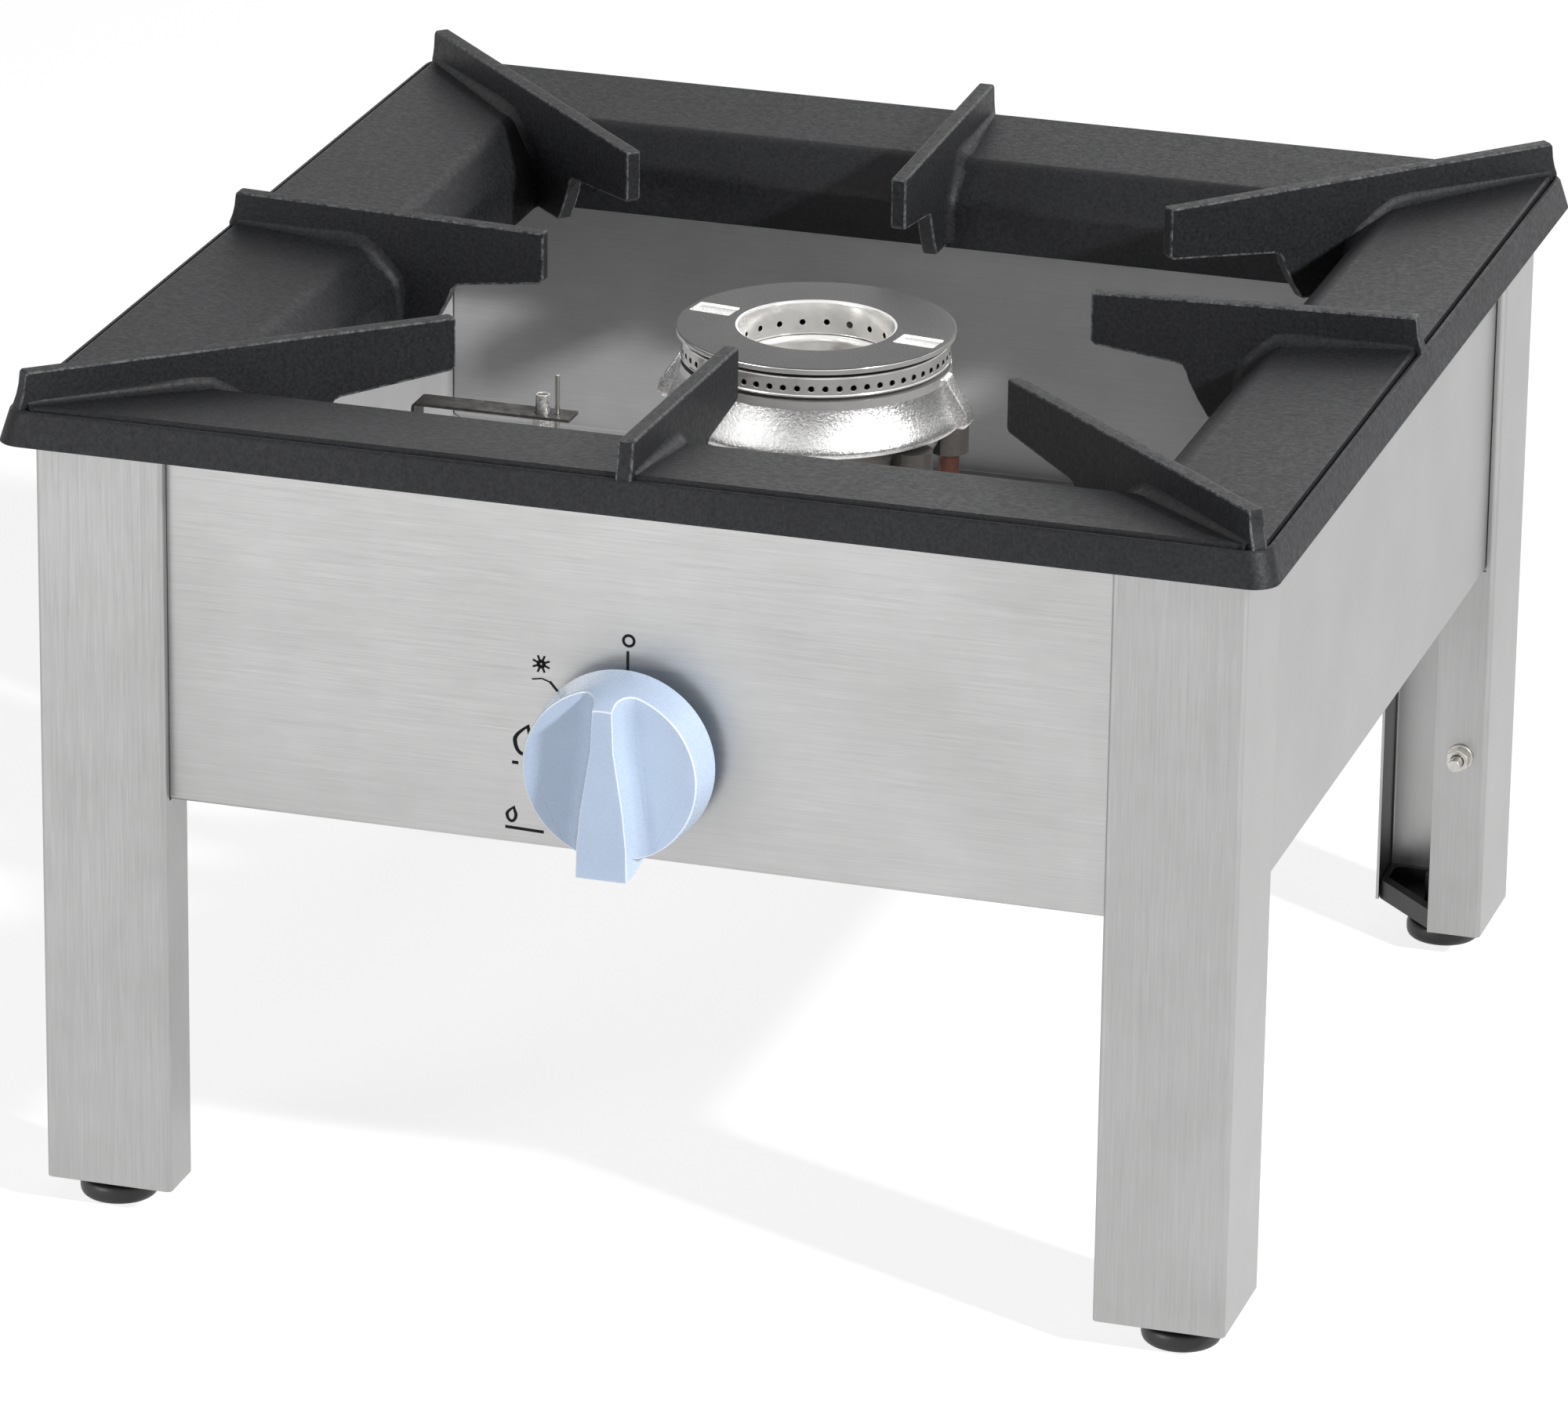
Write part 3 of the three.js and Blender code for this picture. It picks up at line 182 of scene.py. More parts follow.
def turn_about_z(piece, degrees):
    piece.data.transform(Matrix.Rotation(math.radians(degrees), 4, "Z"))


def paint(piece, *finishes):
    """Gives a piece one material slot for each finish."""
    piece.data.materials.clear()
    for finish in finishes:
        piece.data.materials.append(finish)


def report(piece):
    size = [round(v / MM, 1) for v in piece.dimensions]
    print(piece.name, len(piece.data.polygons), "faces", size, "mm")


# %% [markdown]
# ## Camera
# The viewpoint was solved from the corners of the legs, panels and grate. It is a very long lens from
# about four metres away, above the range and to its right, with a slight roll. The frame is landscape, so
# the sensor's width goes with the picture's width.

# %% Camera
CAMERA_PLACE = (1.1456, -3.8135, 1.6816)
FOCAL_LENGTH = 209.76
azimuth, elevation, roll = (math.radians(a) for a in (16.899, 20.711, 0.784))
ahead = Vector((
    -math.sin(azimuth) * math.cos(elevation),
    math.cos(azimuth) * math.cos(elevation),
    -math.sin(elevation),
))
level = ahead.cross(Vector((0, 0, 1))).normalized()
above = level.cross(ahead)
across = math.cos(roll) * level + math.sin(roll) * above
upward = -math.sin(roll) * level + math.cos(roll) * above
bpy.ops.object.camera_add()
camera = bpy.context.object
camera.name = "camera"
turned = Matrix((across, upward, -ahead)).transposed().to_4x4()
camera.matrix_world = Matrix.Translation(CAMERA_PLACE) @ turned
camera.data.sensor_fit = "HORIZONTAL"
camera.data.sensor_width = 36
camera.data.lens = FOCAL_LENGTH
camera.data.clip_end = 60
bpy.context.scene.camera = camera
print("camera at", [round(v, 3) for v in camera.location])

# %% [markdown]
# ## Node helpers
# A finish is a small graph: coordinates of the object feed noises, the noises bend colour, roughness
# and bump. Short helpers keep such graphs readable. A constant goes straight on the shader's socket.

# %% Node helpers
def new_finish(name):
    material = bpy.data.materials.new(name)
    material.use_nodes = True
    return material, material.node_tree, material.node_tree.nodes["Principled BSDF"]


def node(tree, kind, inputs=None, **settings):
    """Adds a node; an input may be a plain value or another node's output."""
    made = tree.nodes.new(kind)
    for key, value in settings.items():
        setattr(made, key, value)
    for key, value in (inputs or {}).items():
        if isinstance(value, bpy.types.NodeSocket):
            tree.links.new(value, made.inputs[key])
        else:
            made.inputs[key].default_value = value
    return made


def stretched(tree, scale):
    """Object coordinates in metres, squeezed by a scale along each axis."""
    where = node(tree, "ShaderNodeTexCoord").outputs["Object"]
    return node(tree, "ShaderNodeMapping", {"Vector": where, "Scale": scale}).outputs["Vector"]


def noise(tree, vector, scale, detail=3.0, roughness=0.55):
    wanted = {"Vector": vector, "Scale": scale, "Detail": detail, "Roughness": roughness}
    return node(tree, "ShaderNodeTexNoise", wanted).outputs["Fac"]


def ramp(tree, value, low, high, at=(0.3, 0.7)):
    """Blends from one colour to another between two values."""
    made = node(tree, "ShaderNodeValToRGB", {"Fac": value})
    for element, place, colour in zip(made.color_ramp.elements, at, (low, high)):
        element.position = place
        element.color = (*colour, 1.0)
    return made.outputs["Color"]


def spread(tree, value, low, high):
    """Maps a noise to a plain number between two limits."""
    wanted = {"Value": value, "From Min": 0.3, "From Max": 0.7, "To Min": low, "To Max": high}
    return node(tree, "ShaderNodeMapRange", wanted).outputs["Result"]


def bump(tree, height, strength, distance, normal=None):
    wanted = {"Height": height, "Strength": strength, "Distance": distance}
    if normal:
        wanted["Normal"] = normal
    return node(tree, "ShaderNodeBump", wanted).outputs["Normal"]


def multiply(tree, first, second, share=1.0):
    mixed = node(tree, "ShaderNodeMix", data_type="RGBA", blend_type="MULTIPLY")
    mixed.inputs["Factor"].default_value = share
    tree.links.new(first, mixed.inputs["A"])
    tree.links.new(second, mixed.inputs["B"])
    return mixed.outputs["Result"]


# %% [markdown]
# ## Brushed stainless sheet
# Fine lines run along each sheet, so the noise is drawn out about fifty times longer along the brushing
# than across it. A slow second noise gives the cloudy patches that handling leaves. The lines bend
# colour, roughness and bump together, each a little, which is how real brushing shows.

# %% Brushed steel, one finish for each brushing direction, each with its own painted shade
STREAK = 0.09


def brushed_steel(name, scale, colour, rough=(0.3, 0.42), cloud=0.9, metallic=1.0):
    material, tree, shader = new_finish(name)
    lines = noise(tree, stretched(tree, scale), 1.0, detail=5.0, roughness=0.75)
    clouds = noise(tree, stretched(tree, (1, 1, 1)), 16.0, detail=5.0, roughness=0.6)
    dark, light = (tuple(c * share for c in colour) for share in (1 - STREAK, 1 + STREAK))
    streaks = ramp(tree, lines, dark, light)
    patches = ramp(tree, clouds, (cloud, cloud, cloud * 0.995), (1.0, 1.0, 1.0))
    tree.links.new(multiply(tree, streaks, patches), shader.inputs["Base Color"])
    shader.inputs["Metallic"].default_value = metallic
    tree.links.new(spread(tree, lines, *rough), shader.inputs["Roughness"])
    tree.links.new(bump(tree, lines, 0.08, 0.00004), shader.inputs["Normal"])
    return material


# The outer finishes differ in tone too: the front and rear panels take the lightest, the side panels and
# legs darker ones. That difference is painted shade for how the lamps fall on each side, as all of it is
# one steel.
steel_x = brushed_steel("steel brushed across", (30, 1500, 2000), (0.47, 0.47, 0.468))
steel_y = brushed_steel("steel brushed front to back", (1500, 30, 2000), (0.39, 0.39, 0.39))
steel_z = brushed_steel("steel brushed upright", (1900, 1900, 30), (0.4, 0.4, 0.398))
inner_steel = brushed_steel("dull inner sheet", (40, 1200, 1800), (0.48, 0.48, 0.485),
                            rough=(0.42, 0.52), cloud=0.85, metallic=0.15)
print("steel finishes:", steel_x.name, steel_y.name, steel_z.name, inner_steel.name)

# %% [markdown]
# ## Sand-cast iron
# The casting keeps the grain of the sand mould: fine grains, shallow pits and a slow waviness, under a
# dull black coat. Where pans and hands rub, the edges go grey; the same grey, on every sharp edge, is
# also a painted highlight. A shader could look for sharp edges by itself, but that needs a very fine mesh.
# So the same graph makes two finishes here, one for the faces and a greyer, patchy one, which the bevels
# will take.

# %% Cast iron, plain and rubbed, the rubbed grey partly a painted highlight
def cast_iron(name, wear_and_highlight):
    material, tree, shader = new_finish(name)
    plain = stretched(tree, (1, 1, 1))
    grain = noise(tree, plain, 560.0, detail=4.0, roughness=0.7)
    pits = noise(tree, plain, 330.0, detail=3.0, roughness=0.6)
    waves = noise(tree, plain, 14.0, detail=3.0)
    body = ramp(tree, waves, (0.0155, 0.0163, 0.018), (0.0225, 0.0235, 0.026))
    # The edge grey is partly rubbed wear and partly a painted highlight on every sharp edge.
    rubbed = ramp(tree, pits, (0.03, 0.031, 0.033), (0.17, 0.175, 0.18), at=(0.36, 0.6))
    coat = node(tree, "ShaderNodeMix", data_type="RGBA")
    coat.inputs["Factor"].default_value = wear_and_highlight
    tree.links.new(body, coat.inputs["A"])
    tree.links.new(rubbed, coat.inputs["B"])
    specks = ramp(tree, grain, (0.25, 0.25, 0.26), (1.0, 1.0, 1.0), at=(0.36, 0.62))
    tree.links.new(multiply(tree, coat.outputs["Result"], specks, 0.85), shader.inputs["Base Color"])
    shader.inputs["Specular IOR Level"].default_value = 0.2
    tree.links.new(spread(tree, pits, 0.42, 0.58), shader.inputs["Roughness"])
    coarse = bump(tree, pits, 0.16, 0.0001)
    fine = bump(tree, grain, 0.7, 0.0003, coarse)
    tree.links.new(fine, shader.inputs["Normal"])
    return material


iron = cast_iron("sand-cast iron", 0.0)
rubbed_iron_and_edge_highlight = cast_iron("rubbed iron with painted edge highlight", 0.9)
print("finishes:", iron.name, rubbed_iron_and_edge_highlight.name)

# %% [markdown]
# ## Nickel-plated casting
# The burner is cast, then plated: bright and nearly white, but with the sand's grain still under the
# plate, so it sparkles. The turned faces are smoother, and the cap's ground top is duller. Painted shade
# makes that top near black, darkens the bowl under the bell, and blackens the inside of the burner.

# %% Nickel
def nickel(name, grain_size, depth, low, high, colour, metallic):
    material, tree, shader = new_finish(name)
    plain = stretched(tree, (1, 1, 1))
    grain = noise(tree, plain, grain_size, detail=4.0, roughness=0.65)
    clouds = noise(tree, plain, 35.0)
    tone = tuple(c * 0.88 for c in colour)
    tree.links.new(ramp(tree, clouds, tone, colour), shader.inputs["Base Color"])
    shader.inputs["Metallic"].default_value = metallic
    tree.links.new(spread(tree, grain, low, high), shader.inputs["Roughness"])
    tree.links.new(bump(tree, grain, 0.6, depth), shader.inputs["Normal"])
    return material


cast_nickel = nickel("nickel over sand casting", 700.0, 0.00048, 0.16, 0.32, (0.86, 0.855, 0.845), 0.88)
smooth_nickel = nickel("nickel turned smooth", 300.0, 0.00008, 0.1, 0.2, (0.95, 0.94, 0.92), 0.72)
# Painted shade: the cap's flat top is made near black.
top_nickel = nickel("nickel ground flat, painted shade", 1100.0, 0.00022, 0.32, 0.5, (0.085, 0.084, 0.083), 0.95)
# Painted shade: a darker nickel for the bowl under the bell.
under_bell_shade_nickel = nickel("nickel under the bell, painted shade", 760.0, 0.0004, 0.3, 0.5, (0.16, 0.15, 0.14), 0.8)
# Painted shade: near black for the inside of the burner and its port bores.
inner_shade_black = nickel("near-black inside the burner, painted shade", 500.0, 0.0002, 0.6, 0.8, (0.014, 0.013, 0.012), 0.0)
print("finishes:", cast_nickel.name, smooth_nickel.name, top_nickel.name, under_bell_shade_nickel.name, inner_shade_black.name)

# %% [markdown]
# ## Moulded plastic, small metals and printed marks
# The knob is a glossy moulding in one pale blue, with the faint waviness of its mould and paler edges,
# which are a painted highlight. The feet are black and satin. Small fittings are brass, copper or zinc,
# each with fine turning or drawing lines and a little tarnish.

# %% Plastics
def moulded(name, colour, roughness, coat=0.0):
    material, tree, shader = new_finish(name)
    plain = stretched(tree, (1, 1, 1))
    skin = noise(tree, plain, 900.0, detail=2.0)
    waves = noise(tree, plain, 40.0)
    tone = tuple(c * 0.93 for c in colour)
    tree.links.new(ramp(tree, waves, tone, colour), shader.inputs["Base Color"])
    tree.links.new(spread(tree, skin, roughness * 0.85, roughness * 1.15), shader.inputs["Roughness"])
    tree.links.new(bump(tree, skin, 0.15, 0.00004), shader.inputs["Normal"])
    shader.inputs["Coat Weight"].default_value = coat
    shader.inputs["Coat Roughness"].default_value = 0.12
    return material


blue_plastic = moulded("pale blue moulding", (0.48, 0.59, 0.76), 0.28, coat=0.1)
# The paler moulding is a painted highlight for the knob's edges.
knob_edge_highlight = moulded("pale blue moulding, painted edge highlight", (0.78, 0.84, 0.94), 0.22, coat=0.5)
black_plastic = moulded("black moulding", (0.012, 0.012, 0.013), 0.42)
print("plastics:", blue_plastic.name, knob_edge_highlight.name, black_plastic.name)


# %% Small metals and print
def small_metal(name, colour, tarnish, roughness, metallic=1.0):
    material, tree, shader = new_finish(name)
    plain = stretched(tree, (1, 1, 1))
    film = noise(tree, plain, 120.0, detail=5.0, roughness=0.65)
    turning = noise(tree, stretched(tree, (300, 2200, 2200)), 1.0, detail=2.0)
    tree.links.new(ramp(tree, film, tarnish, colour), shader.inputs["Base Color"])
    shader.inputs["Metallic"].default_value = metallic
    tree.links.new(spread(tree, film, roughness * 1.3, roughness * 0.8), shader.inputs["Roughness"])
    tree.links.new(bump(tree, turning, 0.12, 0.00005), shader.inputs["Normal"])
    return material


brass = small_metal("brass", (0.68, 0.5, 0.24), (0.42, 0.29, 0.13), 0.3)
copper = small_metal("copper", (0.27, 0.13, 0.1), (0.13, 0.06, 0.05), 0.42)
zinc = small_metal("zinc plate", (0.66, 0.65, 0.61), (0.46, 0.45, 0.42), 0.32)
dark_steel = small_metal("heat-darkened steel", (0.16, 0.155, 0.15), (0.05, 0.045, 0.042), 0.45, 0.9)
print_black = small_metal("black print", (0.004, 0.004, 0.004), (0.008, 0.008, 0.008), 0.6, 0.0)
print_black.node_tree.nodes["Principled BSDF"].inputs["Specular IOR Level"].default_value = 0.15
print("small finishes:", [m.name for m in (brass, copper, zinc, dark_steel, print_black)])

# %% [markdown]
# ## The frame's own nodes
# The small fittings keep their solids from the frame. They arrive as loose triangles, so a Weld modifier
# joins the points, a narrow Bevel rounds the edges, and smooth shading with weighted normals hides the
# facets. Their points never move.

# %% Finish every node of the frame
finish_of_slot = {
    "cast_iron": iron, "brushed_steel": steel_z, "inner_steel": inner_steel, "nickel": cast_nickel,
    "brass": brass, "copper": copper, "zinc_steel": zinc, "dark_steel": dark_steel,
    "black_plastic": black_plastic, "blue_plastic": blue_plastic,
}
slot_of = {part["node"]: part["material_slot"] for part in frame["record"]["subparts"]}
for name, solid in frame["nodes"].items():
    paint(solid, finish_of_slot[slot_of[name]])
    for face in solid.data.polygons:
        face.use_smooth = True
    solid.modifiers.new("Weld", "WELD").merge_threshold = CLOSE
    rounding = solid.modifiers.new("Round", "BEVEL")
    rounding.width = 0.3 * MM
    rounding.segments = 2
    rounding.limit_method = "ANGLE"
    rounding.angle_limit = math.radians(40)
    solid.modifiers.new("Shade", "WEIGHTED_NORMAL").keep_sharp = True
print("finished nodes:", len(slot_of))


def stands_for(piece, nodes, body, finish=None):
    """Hands a finished piece its finish, its body and the nodes it stands for."""
    if finish:
        paint(piece, finish)
    settle(piece)
    if nodes:
        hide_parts(*nodes)
    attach(piece, body)
    report(piece)


# %% [markdown]
# ## Folded legs
# A real leg is one strip of sheet, folded three times to a square with one open corner. So it is made
# as a strip here: an upright plane is extruded edge by edge round the square, its folds are bevelled
# with many segments, the inner returns are cut short where the panels pass behind them, and Solidify
# gives the sheet its thickness.

# %% A helper for folded sheet
SHEET = 1.5 * MM
CUT_EDGE = 0.25 * MM


def sheet_strip(name, line, low, high):
    """An upright strip along a line of (x, y) points, one face for each straight."""
    near, far = Vector(line[0]), Vector(line[1])
    piece = fresh(name, bpy.ops.mesh.primitive_plane_add, size=1)
    open_mesh(piece)
    mesh = bmesh.from_edit_mesh(piece.data)
    for vertex in mesh.verts:
        spot = near if vertex.co.x < 0 else far
        height = low if vertex.co.y < 0 else high
        vertex.co = (spot.x, spot.y, height)
    bmesh.update_edit_mesh(piece.data)
    for here, there in zip(line[1:], line[2:]):
        pick(piece, "EDGE", lambda e: all((v.co.xy - Vector(here)).length < CLOSE for v in e.verts))
        step = Vector((*there, 0)) - Vector((*here, 0))
        bpy.ops.mesh.extrude_region_move(TRANSFORM_OT_translate={"value": step})
    return piece


def fold(piece, test, radius):
    """Rounds the folds, picked by a test on their edges, and leaves edit mode."""
    pick(piece, "EDGE", test)
    bpy.ops.mesh.bevel(offset=radius, segments=6, affect="EDGES")
    close_mesh()


def thicken(piece):
    """Turns the sheet's front towards the viewer, along -Y, and gives it its thickness behind."""
    front = min(piece.data.polygons, key=lambda f: f.center.y)
    if front.normal.y > 0:
        piece.data.flip_normals()
    apply_modifier(piece, "SOLIDIFY", thickness=SHEET, offset=-1.0, use_even_offset=True)


# %% The four legs
leg_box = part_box("leg_front_left")
out = leg_box[0].x
low, high = leg_box[0].z, leg_box[1].z
near, back = out + 60 * MM, out + 26 * MM
outline = [(back, near), (out, near), (out, out), (near, out), (near, back)]
leg = sheet_strip("leg_shape", outline, low, high)


def upright_inside(edge):
    first, second = edge.verts
    return (first.co.xy - second.co.xy).length < CLOSE and len(edge.link_faces) == 2


fold(leg, upright_inside, 2.6 * MM)
panel_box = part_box("front_panel")
clearance = 0.3 * MM
notch, short = panel_box[0].z - clearance, panel_box[0].y - clearance


def on_return(face):
    """True for a face on one of the two inner returns."""
    return max(face.calc_center_median().xy) > near - CLOSE


def behind_panel(face):
    """True for the part of a return that a panel passes."""
    place = face.calc_center_median()
    return on_return(face) and place.z > notch and min(place.xy) > short


open_mesh(leg)
for cut, place in (((0, 0, 1), notch), ((1, 0, 0), short), ((0, 1, 0), short)):
    pick(leg, "FACE", on_return)
    bpy.ops.mesh.bisect(plane_co=Vector(cut) * place, plane_no=cut)
pick(leg, "FACE", behind_panel)
bpy.ops.mesh.delete(type="FACE")
face_outwards()
close_mesh()
thicken(leg)
soften(leg, CUT_EDGE, angle=60, smooth=32)
report(leg)

# %% Place a leg in each corner
corner_turns = {"front_left": 0, "front_right": 90, "rear_right": 180, "rear_left": 270}
for corner, degrees in corner_turns.items():
    own = copy_of(leg, f"folded_leg_{corner}")
    turn_about_z(own, degrees)
    if corner == "rear_right":
        bolt_at = midpoint(*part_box("earth_bolt"))
        drill(own, bolt_at, radius=3.3 * MM, depth=40 * MM, sides=32, rotation=UPRIGHT)
    stands_for(own, [f"leg_{corner}"], "root", steel_z)
bpy.data.objects.remove(leg)

# %% [markdown]
# ## Folded panels
# The panels run from corner to corner behind the legs, as a closed box. Each is a plane with its top and
# bottom edges folded back. Extruding those edges gives the returns, a bevel gives the folds, Solidify
# the sheet, and two slanting cuts the mitred ends. Two panels are then drilled, one for the spindle and
# one for the gas inlet.

# %% The panel's shape
half, face_y = -panel_box[0].y, panel_box[0].y
panel_low, panel_high = panel_box[0].z, panel_box[1].z
panel = fresh("panel_shape", bpy.ops.mesh.primitive_plane_add, size=1, rotation=UPRIGHT)
panel.scale = (2 * half, panel_high - panel_low, 1)
panel.location = (0, face_y, (panel_low + panel_high) / 2)
settle(panel)
open_mesh(panel)
for height, depth in ((panel_high, 22 * MM), (panel_low, 18 * MM)):
    pick(panel, "EDGE", lambda e: all(abs(v.co.z - height) < CLOSE for v in e.verts))
    bpy.ops.mesh.extrude_region_move(TRANSFORM_OT_translate={"value": (0, depth, 0)})
fold(panel, lambda e: not e.is_boundary, 2.4 * MM)
thicken(panel)
open_mesh(panel)
for side in (1, -1):
    bpy.ops.mesh.select_all(action="SELECT")
    bpy.ops.mesh.bisect(plane_co=(0, -0.6 * MM, 0), plane_no=(side, 1, 0), use_fill=True, clear_outer=True)
close_mesh()
soften(panel, CUT_EDGE, angle=60, smooth=32)
paint(panel, steel_x, inner_steel)
for face in panel.data.polygons:
    face.material_index = 1 if face.center.y > face_y + 1.2 * MM else 0
report(panel)

# %% Place a panel on each side
for side, degrees in {"front": 0, "right": 90, "rear": 180, "left": 270}.items():
    own = copy_of(panel, f"folded_panel_{side}")
    turn_about_z(own, degrees)
    passing = {"front": ("spindle", 4.6 * MM), "rear": ("gas_inlet", 10.8 * MM)}.get(side)
    if passing:
        centre = midpoint(*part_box(passing[0]))
        centre.y = math.copysign(face_y, centre.y)
        drill(own, centre, radius=passing[1], depth=20 * MM, rotation=UPRIGHT)
    # The side panels take the darker tone, painted shade.
    if side in ("right", "left"):
        own.data.materials[0] = steel_y
    stands_for(own, [f"{side}_panel"], "root")
bpy.data.objects.remove(panel)

# %% [markdown]
# ## The grate's rim
# The rim is one closed section swept round a square with soft corners. A plane gives the square, a
# vertex bevel its corners. The edge loop is then extruded and resized from station to station down the
# band, the slope and the apron and back under them, and the last loop is bridged to the first.

# %% A helper that walks a loop through stations
def walk(piece, start, stations):
    """Extrudes the selected loop, about the Z axis, to each (half width, height) in turn."""
    half_now, height_now = start
    for half_next, height_next in stations:
        step = (0, 0, height_next - height_now)
        bpy.ops.mesh.extrude_region_move(TRANSFORM_OT_translate={"value": step})
        factor = half_next / half_now
        bpy.ops.transform.resize(value=(factor, factor, 1), center_override=(0, 0, 0))
        half_now, height_now = half_next, height_next


def close_ring(piece):
    """Bridges the first and the last loop, and points every face outwards."""
    pick(piece, "EDGE", lambda e: e.is_boundary)
    bpy.ops.mesh.bridge_edge_loops()
    face_outwards()


# %% The rim
CORNER = 12
rim_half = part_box("grate")[1].x
rim_low = 368.0 * MM
slope_top, slope_foot = (219.0, 380.5), (203.0, 364.0)
lip = [
    (286.4, 381.8), (285.2, 383.3), (284.0, 383.3), (283.2, 381.2), (282.4, 381.2), (282.0, 384.2),
    (280.8, 384.9),
]
apron = [(202.0, 341.0), (208.0, 341.0)]
underside = [(209.5, 361.8), (222.3, 374.0), (279.5, 376.7), (283.5, 368.0)]
section = [*lip, slope_top, slope_foot, *apron, *underside]
rim = fresh("rim", bpy.ops.mesh.primitive_plane_add, size=2 * rim_half, location=(0, 0, rim_low))
settle(rim)
paint(rim, iron, rubbed_iron_and_edge_highlight)
open_mesh(rim)
bpy.ops.mesh.delete(type="ONLY_FACE")
bpy.ops.mesh.select_all(action="SELECT")
bpy.ops.mesh.bevel(offset=CORNER * MM, segments=8, affect="VERTICES")
bpy.ops.mesh.select_all(action="SELECT")
walk(rim, (rim_half, rim_low), [(a * MM, b * MM) for a, b in section])
close_ring(rim)


def on_fold(edge, half_width, height):
    """True for an edge that runs round the rim at one half width and height, also in the corners."""
    return all(
        abs(v.co.z / MM - height) < 0.2
        and half_width - CORNER < max(abs(v.co.x), abs(v.co.y)) / MM < half_width + 1
        for v in edge.verts
    )


for place, radius in ((slope_top, 5.0), (slope_foot, 4.0)):
    pick(rim, "EDGE", lambda e: on_fold(e, *place))
    bpy.ops.mesh.bevel(offset=radius * MM, segments=4, affect="EDGES")
close_mesh()
report(rim)

# %% [markdown]
# ## The grate's fingers
# Each finger is an upright blade: its top falls a little towards the burner, and its underside drops in
# an arch to the apron. A cube is sliced at the stations of that outline, and the upper and lower corners
# of each slice are moved to their heights. The long edges get a small round before the blades join the
# rim, as the pattern maker would.

# %% A finger
def blade(name, stations, thick):
    """A cube sliced along X; each station is (x, under, top) in millimetres."""
    start, end = stations[0][0] * MM, stations[-1][0] * MM
    piece = fresh(name, bpy.ops.mesh.primitive_cube_add, size=1)
    piece.scale = (end - start, thick, 1)
    piece.location = ((start + end) / 2, 0, 0)
    settle(piece)
    open_mesh(piece)
    slice_across((1, 0, 0), [x for x, _, _ in stations[1:-1]])
    for x, under, over in stations:
        for side, height in ((-0.5, under * MM), (0.5, over * MM)):
            pick(piece, "VERT", lambda v: abs(v.co.x - x * MM) < CLOSE and abs(v.co.z - side) < CLOSE)
            bpy.ops.transform.translate(value=(0, 0, height - side))
    close_mesh()
    return piece


def finger(name, stretch, setback):
    """A blade from the opening to the rim; a corner finger is stretched along the diagonal."""
    tip, end, knee = 131.0 * stretch, (290.0 - setback) * stretch, 203.0 * stretch
    rib = 249.0 * stretch - 6
    arch = tip + 0.56 * (knee - tip)
    fall = 4.5 / (end - tip)
    line = [
        (tip, 372.5), (tip + 2, 370.5), (arch, 366.0), (arch + 3, 364.9), (arch + 5, 362.2),
        (arch + 6.5, 357.6), (arch + 10.5, 350.0), (arch + 16, 341.4), (knee + 4.5, 341.4),
        (knee + 8.5, 365.3), (rib, 369.3), (end - 3.2, 369.3),
    ]
    stations = [(x, under, 395.5 + fall * (x - tip)) for x, under in line]
    stations += [(end - 0.9, 372.0, 400.0), (end, 373.3, 399.0), (end + 0.7, 374.0, 393.5),
                 (end + 1.9, 375.0, 388.8), (end + 3.6, 376.0, 384.6)]
    piece = blade(name, stations, 7.4 * MM)
    paint(piece, iron, rubbed_iron_and_edge_highlight)
    # The rounds take the rubbed grey, partly wear and partly a painted highlight.
    round_edges(piece, 1.0 * MM, angle=50, edge_slot=1)
    return piece


side_finger = finger("side_finger", 1.0, 8.0)
corner_finger = finger("corner_finger", math.sqrt(2), 11.0)
report(side_finger)
report(corner_finger)

# %% [markdown]
# Where a finger runs into the rim, the iron leaves a fillet, never a sharp corner. The fillet is a solid of
# its own: a section with two hollow sides, swept along the line where the finger meets the band, the
# slope and the apron. The section is a filled circle whose points are put in place, and each step
# extrudes it once more.

# %% A helper that sweeps a section
def sweep(name, stations):
    """Extrudes a filled outline from station to station; a station lists the outline's points."""
    piece = fresh(name, bpy.ops.mesh.primitive_circle_add, vertices=len(stations[0]), fill_type="NGON")
    open_mesh(piece)
    places = [v.co.copy() for v in piece.data.vertices]
    for station in stations:
        if station is not stations[0]:
            bpy.ops.mesh.extrude_region_move()
        mesh = bmesh.from_edit_mesh(piece.data)
        for vertex in [v for v in mesh.verts if v.select]:
            index = min(range(len(places)), key=lambda k: (places[k] - vertex.co).length)
            vertex.co = station[index]
        bmesh.update_edit_mesh(piece.data)
        places = [Vector(point) for point in station]
    face_outwards()
    close_mesh()
    return piece


# %% The fillets along a finger
def fillet_section(x, z, lean, radius):
    """The hollow-sided section at one place; lean is the angle of the surface's normal from upright."""
    half_blade, root = 3.55, -2.2
    hollow = [(0.0, 1.04), (0.03, 0.8), (0.105, 0.54), (0.26, 0.31), (0.52, 0.12), (0.82, 0.015)]
    foot = (1.1, -0.05)
    right = [(half_blade + side * radius, up * radius) for side, up in (*hollow, foot)]
    right.append((half_blade + foot[0] * radius, root))
    outline = right + [(-side, up) for side, up in reversed(right)]
    tilt = math.radians(lean)
    return [
        ((x - up * math.sin(tilt)) * MM, side * MM, (z + up * math.cos(tilt)) * MM) for side, up in outline
    ]


